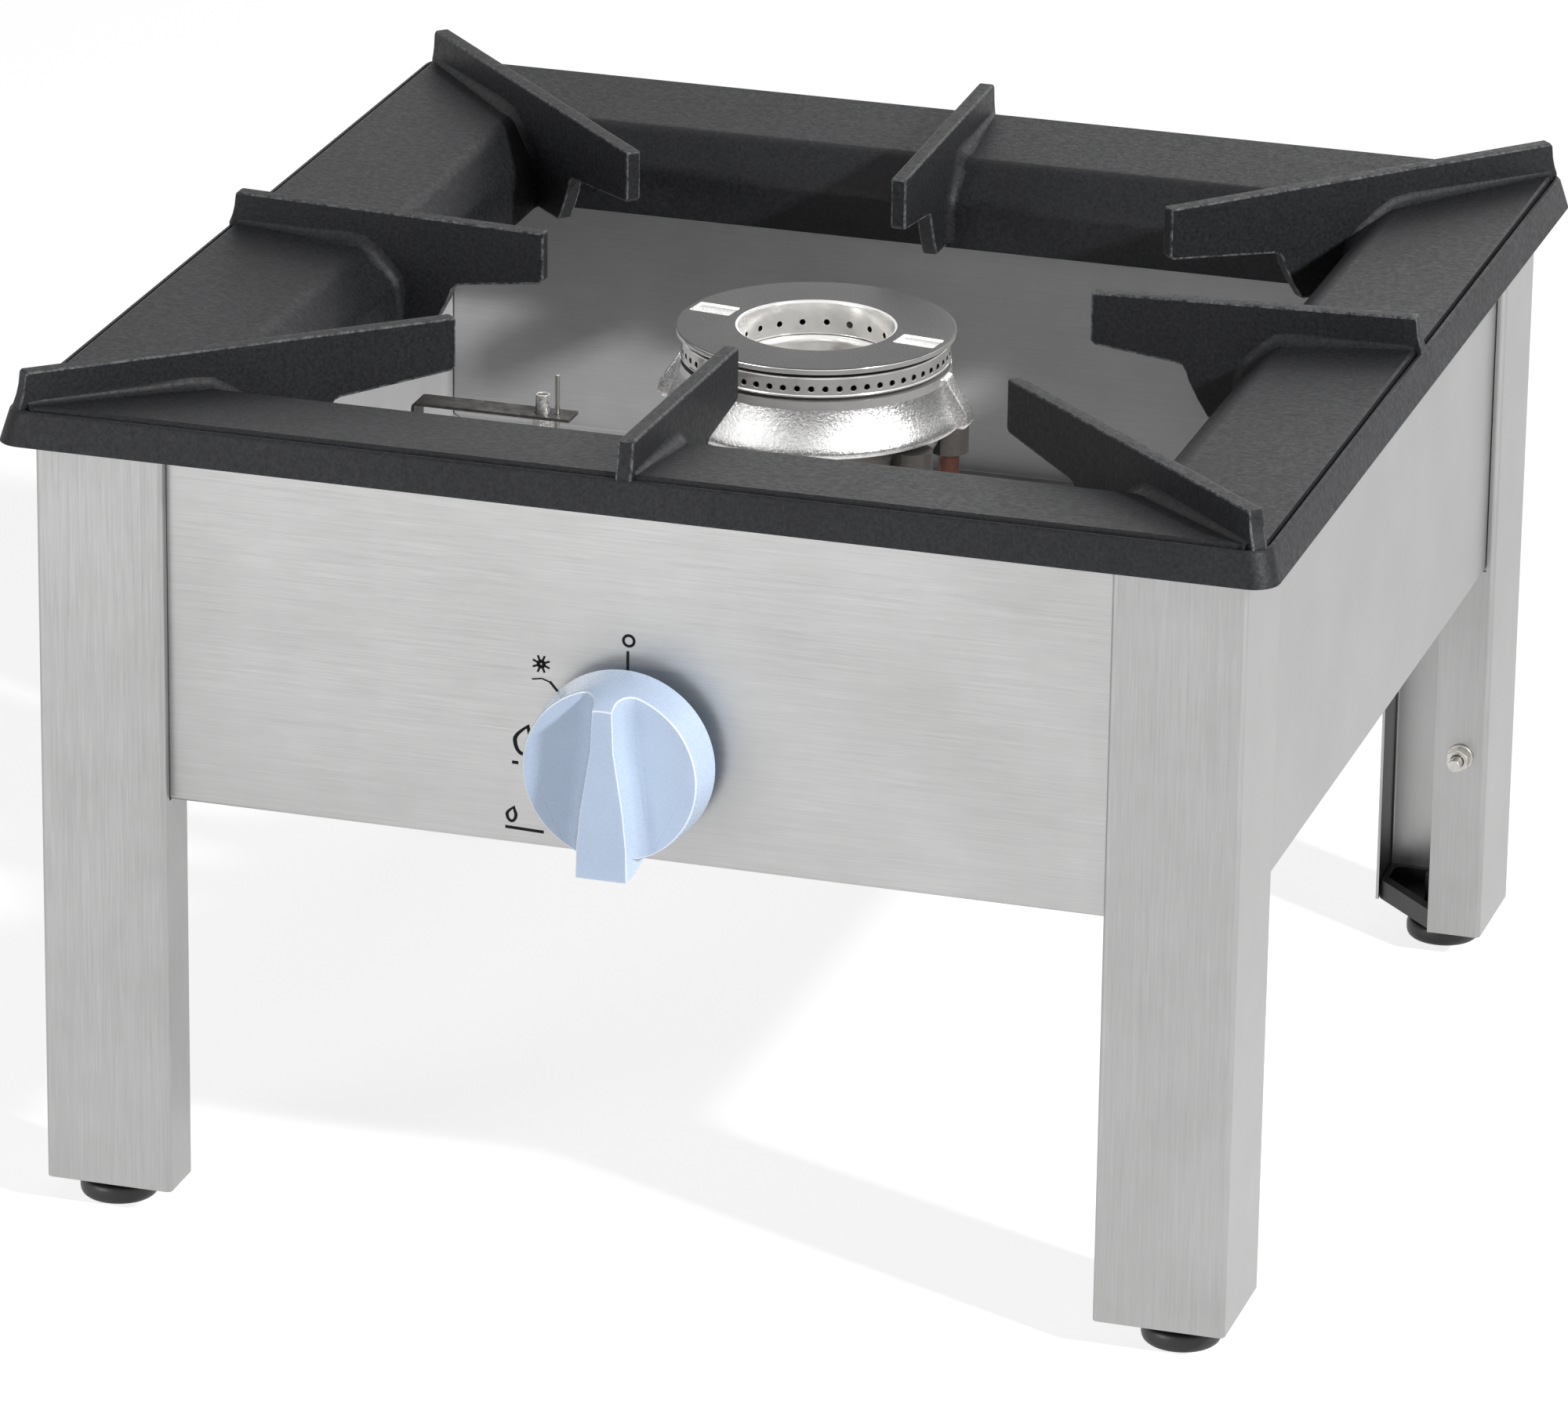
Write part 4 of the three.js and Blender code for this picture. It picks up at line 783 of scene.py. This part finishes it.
def fillet(name, stretch):
    """Sweeps the section in along the band, down the slope and the apron: (x, z, lean, radius)."""
    path = [
        (281.4, 384.5, 3, 2.4), (277.0, 384.5, 4, 3.0), (262.0, 383.5, 4, 4.0), (240.0, 382.0, 4, 5.5),
        (226.0, 381.0, 8, 6.5), (219.6, 379.7, 25, 7.0), (214.5, 375.8, 45, 7.0), (208.0, 369.0, 46, 7.0),
        (204.2, 364.6, 62, 6.5), (203.0, 360.0, 82, 6.0), (202.4, 352.0, 87, 5.0), (202.1, 343.5, 87, 4.5),
    ]
    return sweep(name, [fillet_section(x * stretch, z, lean, radius) for x, z, lean, radius in path])


carve(side_finger, fillet("side_fillet", 1.0), "UNION")
carve(corner_finger, fillet("corner_fillet", math.sqrt(2) - 0.014), "UNION")
report(side_finger)
report(corner_finger)

# %% Join the fingers to the rim
fingers = []
for index in range(4):
    for pattern, offset in ((side_finger, 0), (corner_finger, 45)):
        own = copy_of(pattern, f"finger_{index}_{offset}")
        turn_about_z(own, index * 90 + offset)
        fingers.append(own)
carve(rim, joined(fingers), "UNION")
for pattern in (side_finger, corner_finger):
    bpy.data.objects.remove(pattern)
rim.name = rim.data.name = "pan_grate_casting"
report(rim)

# %% Worn edges, partly a painted highlight
def clean(piece, gap, angle):
    """Merges points that nearly touch and drops edges that fold nothing, so that a bevel runs clear."""
    open_mesh(piece)
    bpy.ops.mesh.remove_doubles(threshold=gap)
    bpy.ops.mesh.dissolve_limited(angle_limit=math.radians(angle))
    close_mesh()


def count_edge_faces(piece):
    rounded = sum(1 for face in piece.data.polygons if face.material_index == 1)
    print(piece.name, "edge faces:", rounded, "of", len(piece.data.polygons))


clean(rim, gap=0.02 * MM, angle=0.5)
# Every sharp edge's round takes the rubbed grey: partly wear, partly a painted highlight.
soften(rim, 0.7 * MM, angle=32, smooth=40, edge_slot=1)
count_edge_faces(rim)
stands_for(rim, ["grate"], "pan_grate")

# %% [markdown]
# ## The burner cap
# The cap is turned: a circle is walked through the stations of its section. Its two skirts are then
# drilled with flame ports. Each drill is a thin bar with a cone on it, so that every port has the small
# countersink that shows as a bright ring.

# %% A helper for turned shapes
def turned_ring(name, sides, profile):
    """A ring of revolution about Z from (radius, height) stations in millimetres."""
    radius, height = profile[0]
    piece = fresh(name, bpy.ops.mesh.primitive_circle_add, vertices=sides, radius=radius * MM,
                  location=(0, 0, height * MM), fill_type="NOTHING")
    settle(piece)
    open_mesh(piece)
    walk(piece, (radius * MM, height * MM), [(a * MM, b * MM) for a, b in profile[1:]])
    close_ring(piece)
    close_mesh()
    return piece


def port_drills(count, wall, side, z):
    """One mesh of small drills through a skirt of a given radius; side is 1 where they enter outside."""
    bore, mouth, tip = 1.45 * MM, 2.3 * MM, 0.9 * MM
    place = (wall * MM, 0, z * MM)
    through = fresh("port_drill", bpy.ops.mesh.primitive_cylinder_add, vertices=12, radius=bore,
                    depth=8 * MM, location=place, rotation=(0, math.radians(90), 0))
    settle(through)
    sink = fresh("port_sink", bpy.ops.mesh.primitive_cone_add, vertices=12, radius1=tip, radius2=mouth,
                 depth=1.1 * MM, location=place, rotation=(0, math.radians(90 * side), 0))
    settle(sink)
    bits = []
    for pattern in (through, sink):
        for index in range(count):
            own = copy_of(pattern, "drill")
            turn_about_z(own, (index + 0.5) * 360 / count)
            bits.append(own)
        bpy.data.objects.remove(pattern)
    return joined(bits)


# %% The cap
cap_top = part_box("burner_cap")[1].z / MM
cap_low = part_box("burner_cap")[0].z / MM
under = cap_top - 3.6
port_z = cap_low + 5.6
cap = turned_ring("burner_ring_cap", 180, [
    (35.5, cap_low), (38.1, cap_low), (38.1, under), (58.6, under), (58.6, cap_low), (60.6, cap_low),
    (60.8, cap_low + 1.2), (62.3, cap_low + 1.7), (62.3, cap_low + 2.4), (61.9, cap_low + 2.7),
    (61.9, under - 2.0), (62.3, under - 1.7), (62.3, under - 1.2), (60.6, under - 0.9),
    (60.6, under + 0.2), (64.5, under + 1.0), (64.5, cap_top - 0.7), (64.3, cap_top - 0.3), (63.6, cap_top),
    (37.2, cap_top), (36.2, cap_top - 0.4), (35.7, cap_top - 1.6),
])
carve(cap, port_drills(count=60, wall=61.9, side=1, z=port_z))
carve(cap, port_drills(count=20, wall=35.6, side=-1, z=port_z))
report(cap)

# %% The cap's two lifting recesses
for turn in (-8, 172):
    recess = fresh("recess", bpy.ops.mesh.primitive_cube_add, size=1)
    recess.scale = (20 * MM, 13 * MM, 4 * MM)
    recess.location = (51.5 * MM, 0, (cap_top + 0.6) * MM)
    settle(recess)
    round_edges(recess, 0.9 * MM)
    turn_about_z(recess, turn)
    carve(cap, recess)
soften(cap, 0.2 * MM, segments=1, angle=50, smooth=30)
paint(cap, smooth_nickel, top_nickel, cast_nickel, inner_shade_black)
# Index 1, the near-black flat top, and index 3, the near-black inside and port bores, are painted shade.
for face in cap.data.polygons:
    reach, height = face.center.xy.length / MM, face.center.z / MM
    at_ports = abs(height - port_z) < 2.4
    ground = face.normal.z > 0.9 and height > cap_top - 0.2
    pressed = face.normal.z > 0.5 and cap_top - 2.2 < height < cap_top - 0.9
    inside = (38.0 < reach < 61.75 and height < under + 0.9) or (35.7 < reach < 38.1 and at_ports)
    countersunk = reach > 61.0 and at_ports
    face.material_index = 1 if ground else 2 if pressed else 3 if inside and not countersunk else 0
stands_for(cap, ["burner_cap"], "cap")

# %% [markdown]
# ## The burner body
# The body is a casting with a flared bell, a bowl below it and an open middle. It is turned like the
# cap, with more stations for its soft curves. The two ribs on its sides are cubes, sliced and drawn out
# to their slanting outline, and joined on.

# %% The body
bell_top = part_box("burner_body")[1].z / MM
bowl_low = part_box("burner_body")[0].z / MM
foot = bowl_low + 23.0
body = turned_ring("burner_casting", 96, [
    (33.5, bell_top), (32.7, bell_top - 1.2), (32.5, bell_top - 3), (32.5, bowl_low), (46.0, bowl_low),
    (50.0, bowl_low + 1.0), (52.5, bowl_low + 3.2), (55.5, bowl_low + 7.5), (57.6, bowl_low + 12),
    (59.4, bowl_low + 17), (61.0, foot - 2.6), (66.2, foot - 1.2), (68.6, foot - 0.4), (69.3, foot + 1.0),
    (69.3, foot + 2.6), (68.4, foot + 4.8), (67.0, foot + 7.8), (65.6, foot + 11), (64.3, foot + 15),
    (63.4, foot + 18.5), (62.9, foot + 21), (62.6, foot + 23.2), (62.5, bell_top), (58.3, bell_top),
    (58.3, foot + 2), (53, bowl_low + 11), (47, bowl_low + 4), (36.5, bowl_low + 4), (36.5, bell_top),
])
report(body)


# %% Its side ribs
def side_rib(turn):
    """A block on the bell, sliced at the levels where its outer edge changes slope."""
    tall, inner, outer = 24, 58, 76
    rib = fresh("rib", bpy.ops.mesh.primitive_cube_add, size=1)
    rib.scale = ((outer - inner) * MM, 11 * MM, tall * MM)
    rib.location = ((inner + outer) / 2 * MM, 0, (foot + tall / 2) * MM)
    settle(rib)
    open_mesh(rib)
    edge = ((0, 72.6), (3, 75.3), (8, 73.8), (14, 70.0), (19, 66.6), (tall, 64.0))
    slice_across((0, 0, 1), [foot + level for level, _ in edge[1:-1]])
    for level, reach in edge:
        at = (foot + level) * MM
        pick(rib, "VERT", lambda v: abs(v.co.z - at) < CLOSE and v.co.x > 70 * MM)
        bpy.ops.transform.translate(value=((reach - outer) * MM, 0, 0))
    close_mesh()
    round_edges(rib, 1.4 * MM, angle=40)
    turn_about_z(rib, turn)
    return rib


for turn in (0, 180):
    carve(body, side_rib(turn), "UNION")
for x in (-56, 56):
    for y in (-30, 30):
        pad = fresh("pad", bpy.ops.mesh.primitive_cylinder_add, vertices=32, radius=9 * MM, depth=20 * MM,
                    location=(x * MM, y * MM, (bowl_low + 10) * MM))
        carve(body, pad, "UNION")
        drill(body, (x * MM, y * MM, bowl_low * MM), radius=2.8 * MM, depth=6.6 * MM, sides=24)
mixer_y = -48.9
drill(body, (0, mixer_y * MM, bowl_low * MM), radius=11 * MM, depth=12 * MM)
soften(body, 0.4 * MM, angle=40, smooth=38)
paint(body, cast_nickel, smooth_nickel, under_bell_shade_nickel, inner_shade_black)
# Index 2, the darker bowl under the bell, is painted shade; index 3, the near-black gas way, is painted
# shade too.
for face in body.data.polygons:
    reach, height = face.center.xy.length / MM, face.center.z / MM
    bored = reach < 34 or (height > bell_top - 3 and reach < 63.5)
    gas_way = 36.4 < reach < 58.4 and height > bowl_low + 3
    outside_low = height < foot - 1.0 and reach > 40
    face.material_index = 3 if gas_way else 2 if outside_low else 1 if bored else 0
stands_for(body, ["burner_body"], "root")

# %% [markdown]
# ## The knob
# The real knob is moulded in one piece: a tapered disc with a waisted grip bar that grows out of its face
# in two hollow sweeps. So the disc starts as tall as the grip, and two rounded cutters scoop the face
# away beside it. The bevel on a cutter's lower edge becomes the hollow sweep on the knob. It is modelled
# lying on its back, and stood up at the end. Its edges take the paler plastic, a painted highlight, as the
# iron's took the rubbed grey, which is partly a painted highlight too.

# %% The knob's blank
knob_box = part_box("knob")
axis_z = midpoint(*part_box("spindle")).z
# The face stays a little inside the frame's box.
setback = 0.4
tall = (knob_box[1].y - knob_box[0].y) / MM - setback
disc = [(41.5, 0), (41.5, 1.6), (41.3, 6.0), (40.6, 15.0), (40.0, 21.0), (37.4, 27.0), (33.6, tall)]
disc = [(radius * MM, height * MM) for radius, height in disc]
knob = fresh("knob_blank", bpy.ops.mesh.primitive_circle_add, vertices=160, radius=disc[0][0],
             fill_type="NGON")
open_mesh(knob)
walk(knob, disc[0], disc[1:])
face_outwards()
close_mesh()
report(knob)

# %% The grip's lower end, past the disc
heel_width, heel_length, heel_end, heel_low, undercut = 25.2, 25, -45, 3, 5
heel = fresh("heel", bpy.ops.mesh.primitive_cube_add, size=1)
heel.scale = (heel_width * MM, heel_length * MM, (tall - heel_low) * MM)
heel.location = (0, (heel_end + heel_length / 2) * MM, (tall + heel_low) / 2 * MM)
settle(heel)
open_mesh(heel)
pick(heel, "VERT", lambda v: v.co.z < 10 * MM and v.co.y < -40 * MM)
bpy.ops.transform.translate(value=(0, undercut * MM, 0))
close_mesh()
carve(knob, heel, "UNION")
report(knob)


# %% Scoop the face away beside the grip
def scoop(side):
    """A block beside the grip; its inner wall follows the waist, its lower edge is well rounded."""
    block = fresh("scoop", bpy.ops.mesh.primitive_cube_add, size=1)
    block.scale = (50 * MM, 120 * MM, 30 * MM)
    block.location = (25 * MM, -5 * MM, 37 * MM)
    settle(block)
    open_mesh(block)
    waist = ((-65, 11.7), (-44, 11.7), (-30, 11.4), (-13, 9.7), (0, 7.6), (15, 5.3), (32, 4.6), (55, 4.6))
    slice_across((0, 1, 0), [y for y, _ in waist[1:-1]])
    for y, half_width in waist:
        pick(block, "VERT", lambda v: v.co.x < CLOSE and abs(v.co.y - y * MM) < CLOSE)
        bpy.ops.transform.translate(value=(half_width * MM, 0, 0))
    # The lower edge of the inner wall leaves the hollow sweep between the face and the grip.
    pick(block, "EDGE", lambda e: all(v.co.x < 13 * MM and v.co.z < 23 * MM for v in e.verts))
    bpy.ops.mesh.bevel(offset=9 * MM, segments=8, affect="EDGES")
    close_mesh()
    if side < 0:
        block.data.transform(Matrix.Scale(-1, 4, (1, 0, 0)))
        block.data.flip_normals()
    return block


for side in (1, -1):
    carve(knob, scoop(side))
drill(knob, (0, 0, 0), radius=4.3 * MM, depth=32 * MM)
paint(knob, blue_plastic, knob_edge_highlight)
for face in knob.data.polygons:
    face.material_index = 0
clean(knob, gap=0.1 * MM, angle=1)
# The rounds take the paler plastic: a painted highlight along every edge.
soften(knob, 0.45 * MM, edge_slot=1, clamp=False)
count_edge_faces(knob)
knob.data.transform(Matrix.Rotation(math.radians(90), 4, "X"))
knob.data.transform(Matrix.Translation((0, knob_box[1].y, axis_z)))
knob.name = knob.data.name = "tap_knob_moulding"
stands_for(knob, ["knob"], "tap_knob")

# %% [markdown]
# ## Levelling feet
# A moulded puck with a soft shoulder and a collar under the leg. One is turned, and each leg gets a copy,
# on a body of its own because each foot screws down by itself.

# %% The feet
foot_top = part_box("foot_front_left")[1].z / MM
puck = turned_ring("puck", 64, [
    (4.3, foot_top), (4.3, 4.2), (3.0, 4.2), (0.2, 4.2), (0.2, 0), (15.2, 0), (16.4, 0.3), (17.2, 1.0),
    (17.7, 2.0), (18.0, 3.4), (18.0, 6.4), (17.6, 7.8), (16.6, 8.9), (14.6, 9.7), (12.0, 10.3),
    (11.0, 10.8), (10.4, 11.6), (10.4, foot_top - 0.5), (10.0, foot_top),
])
bpy.ops.object.shade_smooth_by_angle(angle=math.radians(40))
for corner in corner_turns:
    own = copy_of(puck, f"levelling_foot_{corner}")
    place = midpoint(*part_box(f"foot_{corner}"))
    own.data.transform(Matrix.Translation((place.x, place.y, 0)))
    stands_for(own, [f"foot_{corner}"], f"{corner}_foot", black_plastic)
bpy.data.objects.remove(puck)

# %% [markdown]
# ## Dial marks
# The dial is printed on the panel round the knob: a ring for off, a spark, a large and a small flame,
# and short lines that the grip points to. Each mark is a thin flat shape, a few hundredths of a
# millimetre proud of the steel, which is as thick as screen print.

# %% Marks as thin flat shapes
INK = 0.06 * MM
print_y = face_y - 0.04 * MM


def printed(name, shapes):
    """Joins flat shapes drawn in X and Z, in millimetres, into one printed mark."""
    mark = joined(shapes)
    mark.name = mark.data.name = name
    apply_modifier(mark, "SOLIDIFY", thickness=INK, offset=0)
    stands_for(mark, [], "root", print_black)


def bar(x0, z0, x1, z1, width):
    """A straight printed line."""
    start, end = Vector((x0, z0)) * MM, Vector((x1, z1)) * MM
    along = end - start
    piece = fresh("line", bpy.ops.mesh.primitive_plane_add, size=1, rotation=UPRIGHT)
    bpy.ops.object.transform_apply(rotation=True)
    piece.scale = (along.length, 1, width * MM)
    piece.rotation_euler = (0, -math.atan2(along.y, along.x), 0)
    piece.location = ((start.x + end.x) / 2, print_y, (start.y + end.y) / 2)
    settle(piece)
    return piece


def upright_circle(name, x, z, radius):
    """A circle on the panel, open for editing with all of it selected."""
    piece = fresh(name, bpy.ops.mesh.primitive_circle_add, vertices=48, radius=radius * MM,
                  rotation=UPRIGHT, location=(x * MM, print_y, z * MM))
    settle(piece)
    open_mesh(piece)
    return piece


def fill_inwards(across, up, x, z):
    """Extrudes the selected outline, draws the copy in towards a point and leaves edit mode."""
    bpy.ops.mesh.extrude_region_move()
    bpy.ops.transform.resize(value=(across, 1, up), center_override=(x * MM, print_y, z * MM))
    close_mesh()


def ring_mark(x, z, radius, width):
    """A printed ring: a circle extruded inwards."""
    piece = upright_circle("ring", x, z, radius)
    share = (radius - width) / radius
    fill_inwards(share, share, x, z)
    return piece


def flame_mark(x, z, height, width, line):
    """A circle drawn out to a pointed, leaning flame, then extruded inwards to a bold line."""
    piece = upright_circle("flame", x, z, height / 2)
    mesh = bmesh.from_edit_mesh(piece.data)
    for vertex in mesh.verts:
        up = (vertex.co.z / MM - z) / (height / 2)
        narrow = (width / height) * (1 - 0.75 * max(0.0, up) ** 1.5)
        lean = 0.18 * height * max(0.0, up) ** 2
        vertex.co.x = (x + (vertex.co.x / MM - x) * narrow + lean) * MM
    bmesh.update_edit_mesh(piece.data)
    fill_inwards(1 - 2 * line / width, 1 - 2 * line / height, x, z - 0.06 * height)
    return piece


# %% The marks round the knob
printed("mark_off", [ring_mark(-1.5, 304.4, 3.1, 1.3), bar(-1.9, 299.6, -1.9, 288.0, 1.3)])
spark_x, spark_z, ray_start, ray_end = -41.6, 288.8, 1.0, 4.2
spark = []
for index in range(8):
    angle = math.radians(22 + 45 * index)
    run, rise = math.cos(angle), math.sin(angle)
    spark.append(bar(spark_x + ray_start * run, spark_z + ray_start * rise,
                     spark_x + ray_end * run, spark_z + ray_end * rise, 1.0))
spark.append(ring_mark(spark_x, spark_z, 2.1, 1.7))
for x0, z0, x1, z1, width in ((-45.8, 281.3, -41.3, 282.1, 0.7), (-41.3, 282.1, -37.6, 280.9, 0.7),
                              (-37.6, 281.1, -31.5, 274.2, 1.2)):
    spark.append(bar(x0, z0, x1, z1, width))
printed("mark_spark", spark)
printed("mark_large_flame", [flame_mark(-49.8, 252.4, 15, 9.5, 1.9), bar(-54.9, 241.3, -52.0, 241.3, 1.5)])
printed("mark_small_flame", [flame_mark(-55.1, 216.9, 8.0, 5.6, 1.5), bar(-58.0, 210.6, -40.1, 210.1, 1.4)])

# %% [markdown]
# ## Floor, backdrop and light
# The range stands on a plain pale floor. A small key lamp at the right draws the shadow, and two broad
# lamps fill the front and wash the rear. To the camera, and in reflections, part of the floor's white
# comes from emission, so that it stays white and still keeps the shadow. To every other ray it is a
# plain matt surface.

# %% A helper for what the camera and the metal see
def backdrop_share(tree):
    """One for a ray from the camera, a mirror or a glass, nought for light that spreads."""
    rays_seen = node(tree, "ShaderNodeLightPath").outputs
    share = rays_seen["Is Camera Ray"]
    for kind in ("Is Glossy Ray", "Is Transmission Ray"):
        share = node(tree, "ShaderNodeMath", {0: share, 1: rays_seen[kind]}, operation="MAXIMUM").outputs[0]
    return share


def emptied(owner):
    """The node tree of a material or a world, with nothing in it."""
    owner.use_nodes = True
    owner.node_tree.nodes.clear()
    return owner.node_tree


def grey(value):
    return (value, value, value, 1)


# %% The floor
floor = fresh("floor", bpy.ops.mesh.primitive_plane_add, size=16, location=(0, 2, 0))
settle(floor)
material = bpy.data.materials.new("studio floor")
tree = emptied(material)
seen = backdrop_share(tree)
matt = node(tree, "ShaderNodeBsdfDiffuse", {"Color": grey(0.62)}).outputs[0]
dim = node(tree, "ShaderNodeBsdfDiffuse", {"Color": grey(0.42)}).outputs[0]
glow = node(tree, "ShaderNodeEmission", {"Color": grey(1), "Strength": 0.82}).outputs[0]
both = node(tree, "ShaderNodeAddShader", {0: dim, 1: glow}).outputs[0]
choice = node(tree, "ShaderNodeMixShader", {0: seen, 1: matt, 2: both}).outputs[0]
node(tree, "ShaderNodeOutputMaterial", {"Surface": choice})
paint(floor, material)
print("floor:", floor.dimensions[:2])

# %% The world and the lamps
world = bpy.data.worlds.new("studio")
bpy.context.scene.world = world
tree = emptied(world)
seen = backdrop_share(tree)
ambient = node(tree, "ShaderNodeBackground", {"Color": grey(1), "Strength": 0.06}).outputs[0]
white = node(tree, "ShaderNodeBackground", {"Color": grey(1), "Strength": 1.0}).outputs[0]
choice = node(tree, "ShaderNodeMixShader", {0: seen, 1: ambient, 2: white}).outputs[0]
node(tree, "ShaderNodeOutputWorld", {"Surface": choice})


def softbox(name, place, size, power):
    """A square area lamp that looks at the range."""
    bpy.ops.object.light_add(type="AREA", location=place)
    lamp = bpy.context.object
    lamp.name = name
    lamp.data.shape = "SQUARE"
    lamp.data.size = size
    lamp.data.energy = power
    lamp.visible_camera = False
    lamp.rotation_euler = (Vector((0, 0, 0.2)) - Vector(place)).to_track_quat("-Z", "Y").to_euler()


softbox("key", place=(3.05, -1.45, 2.2), size=0.22, power=165)
softbox("front fill", place=(-2.2, -3.1, 0.9), size=1.6, power=58)
softbox("rear wash", place=(0.3, 4.2, 1.2), size=2.6, power=30)
bpy.context.scene.view_settings.view_transform = "Standard"
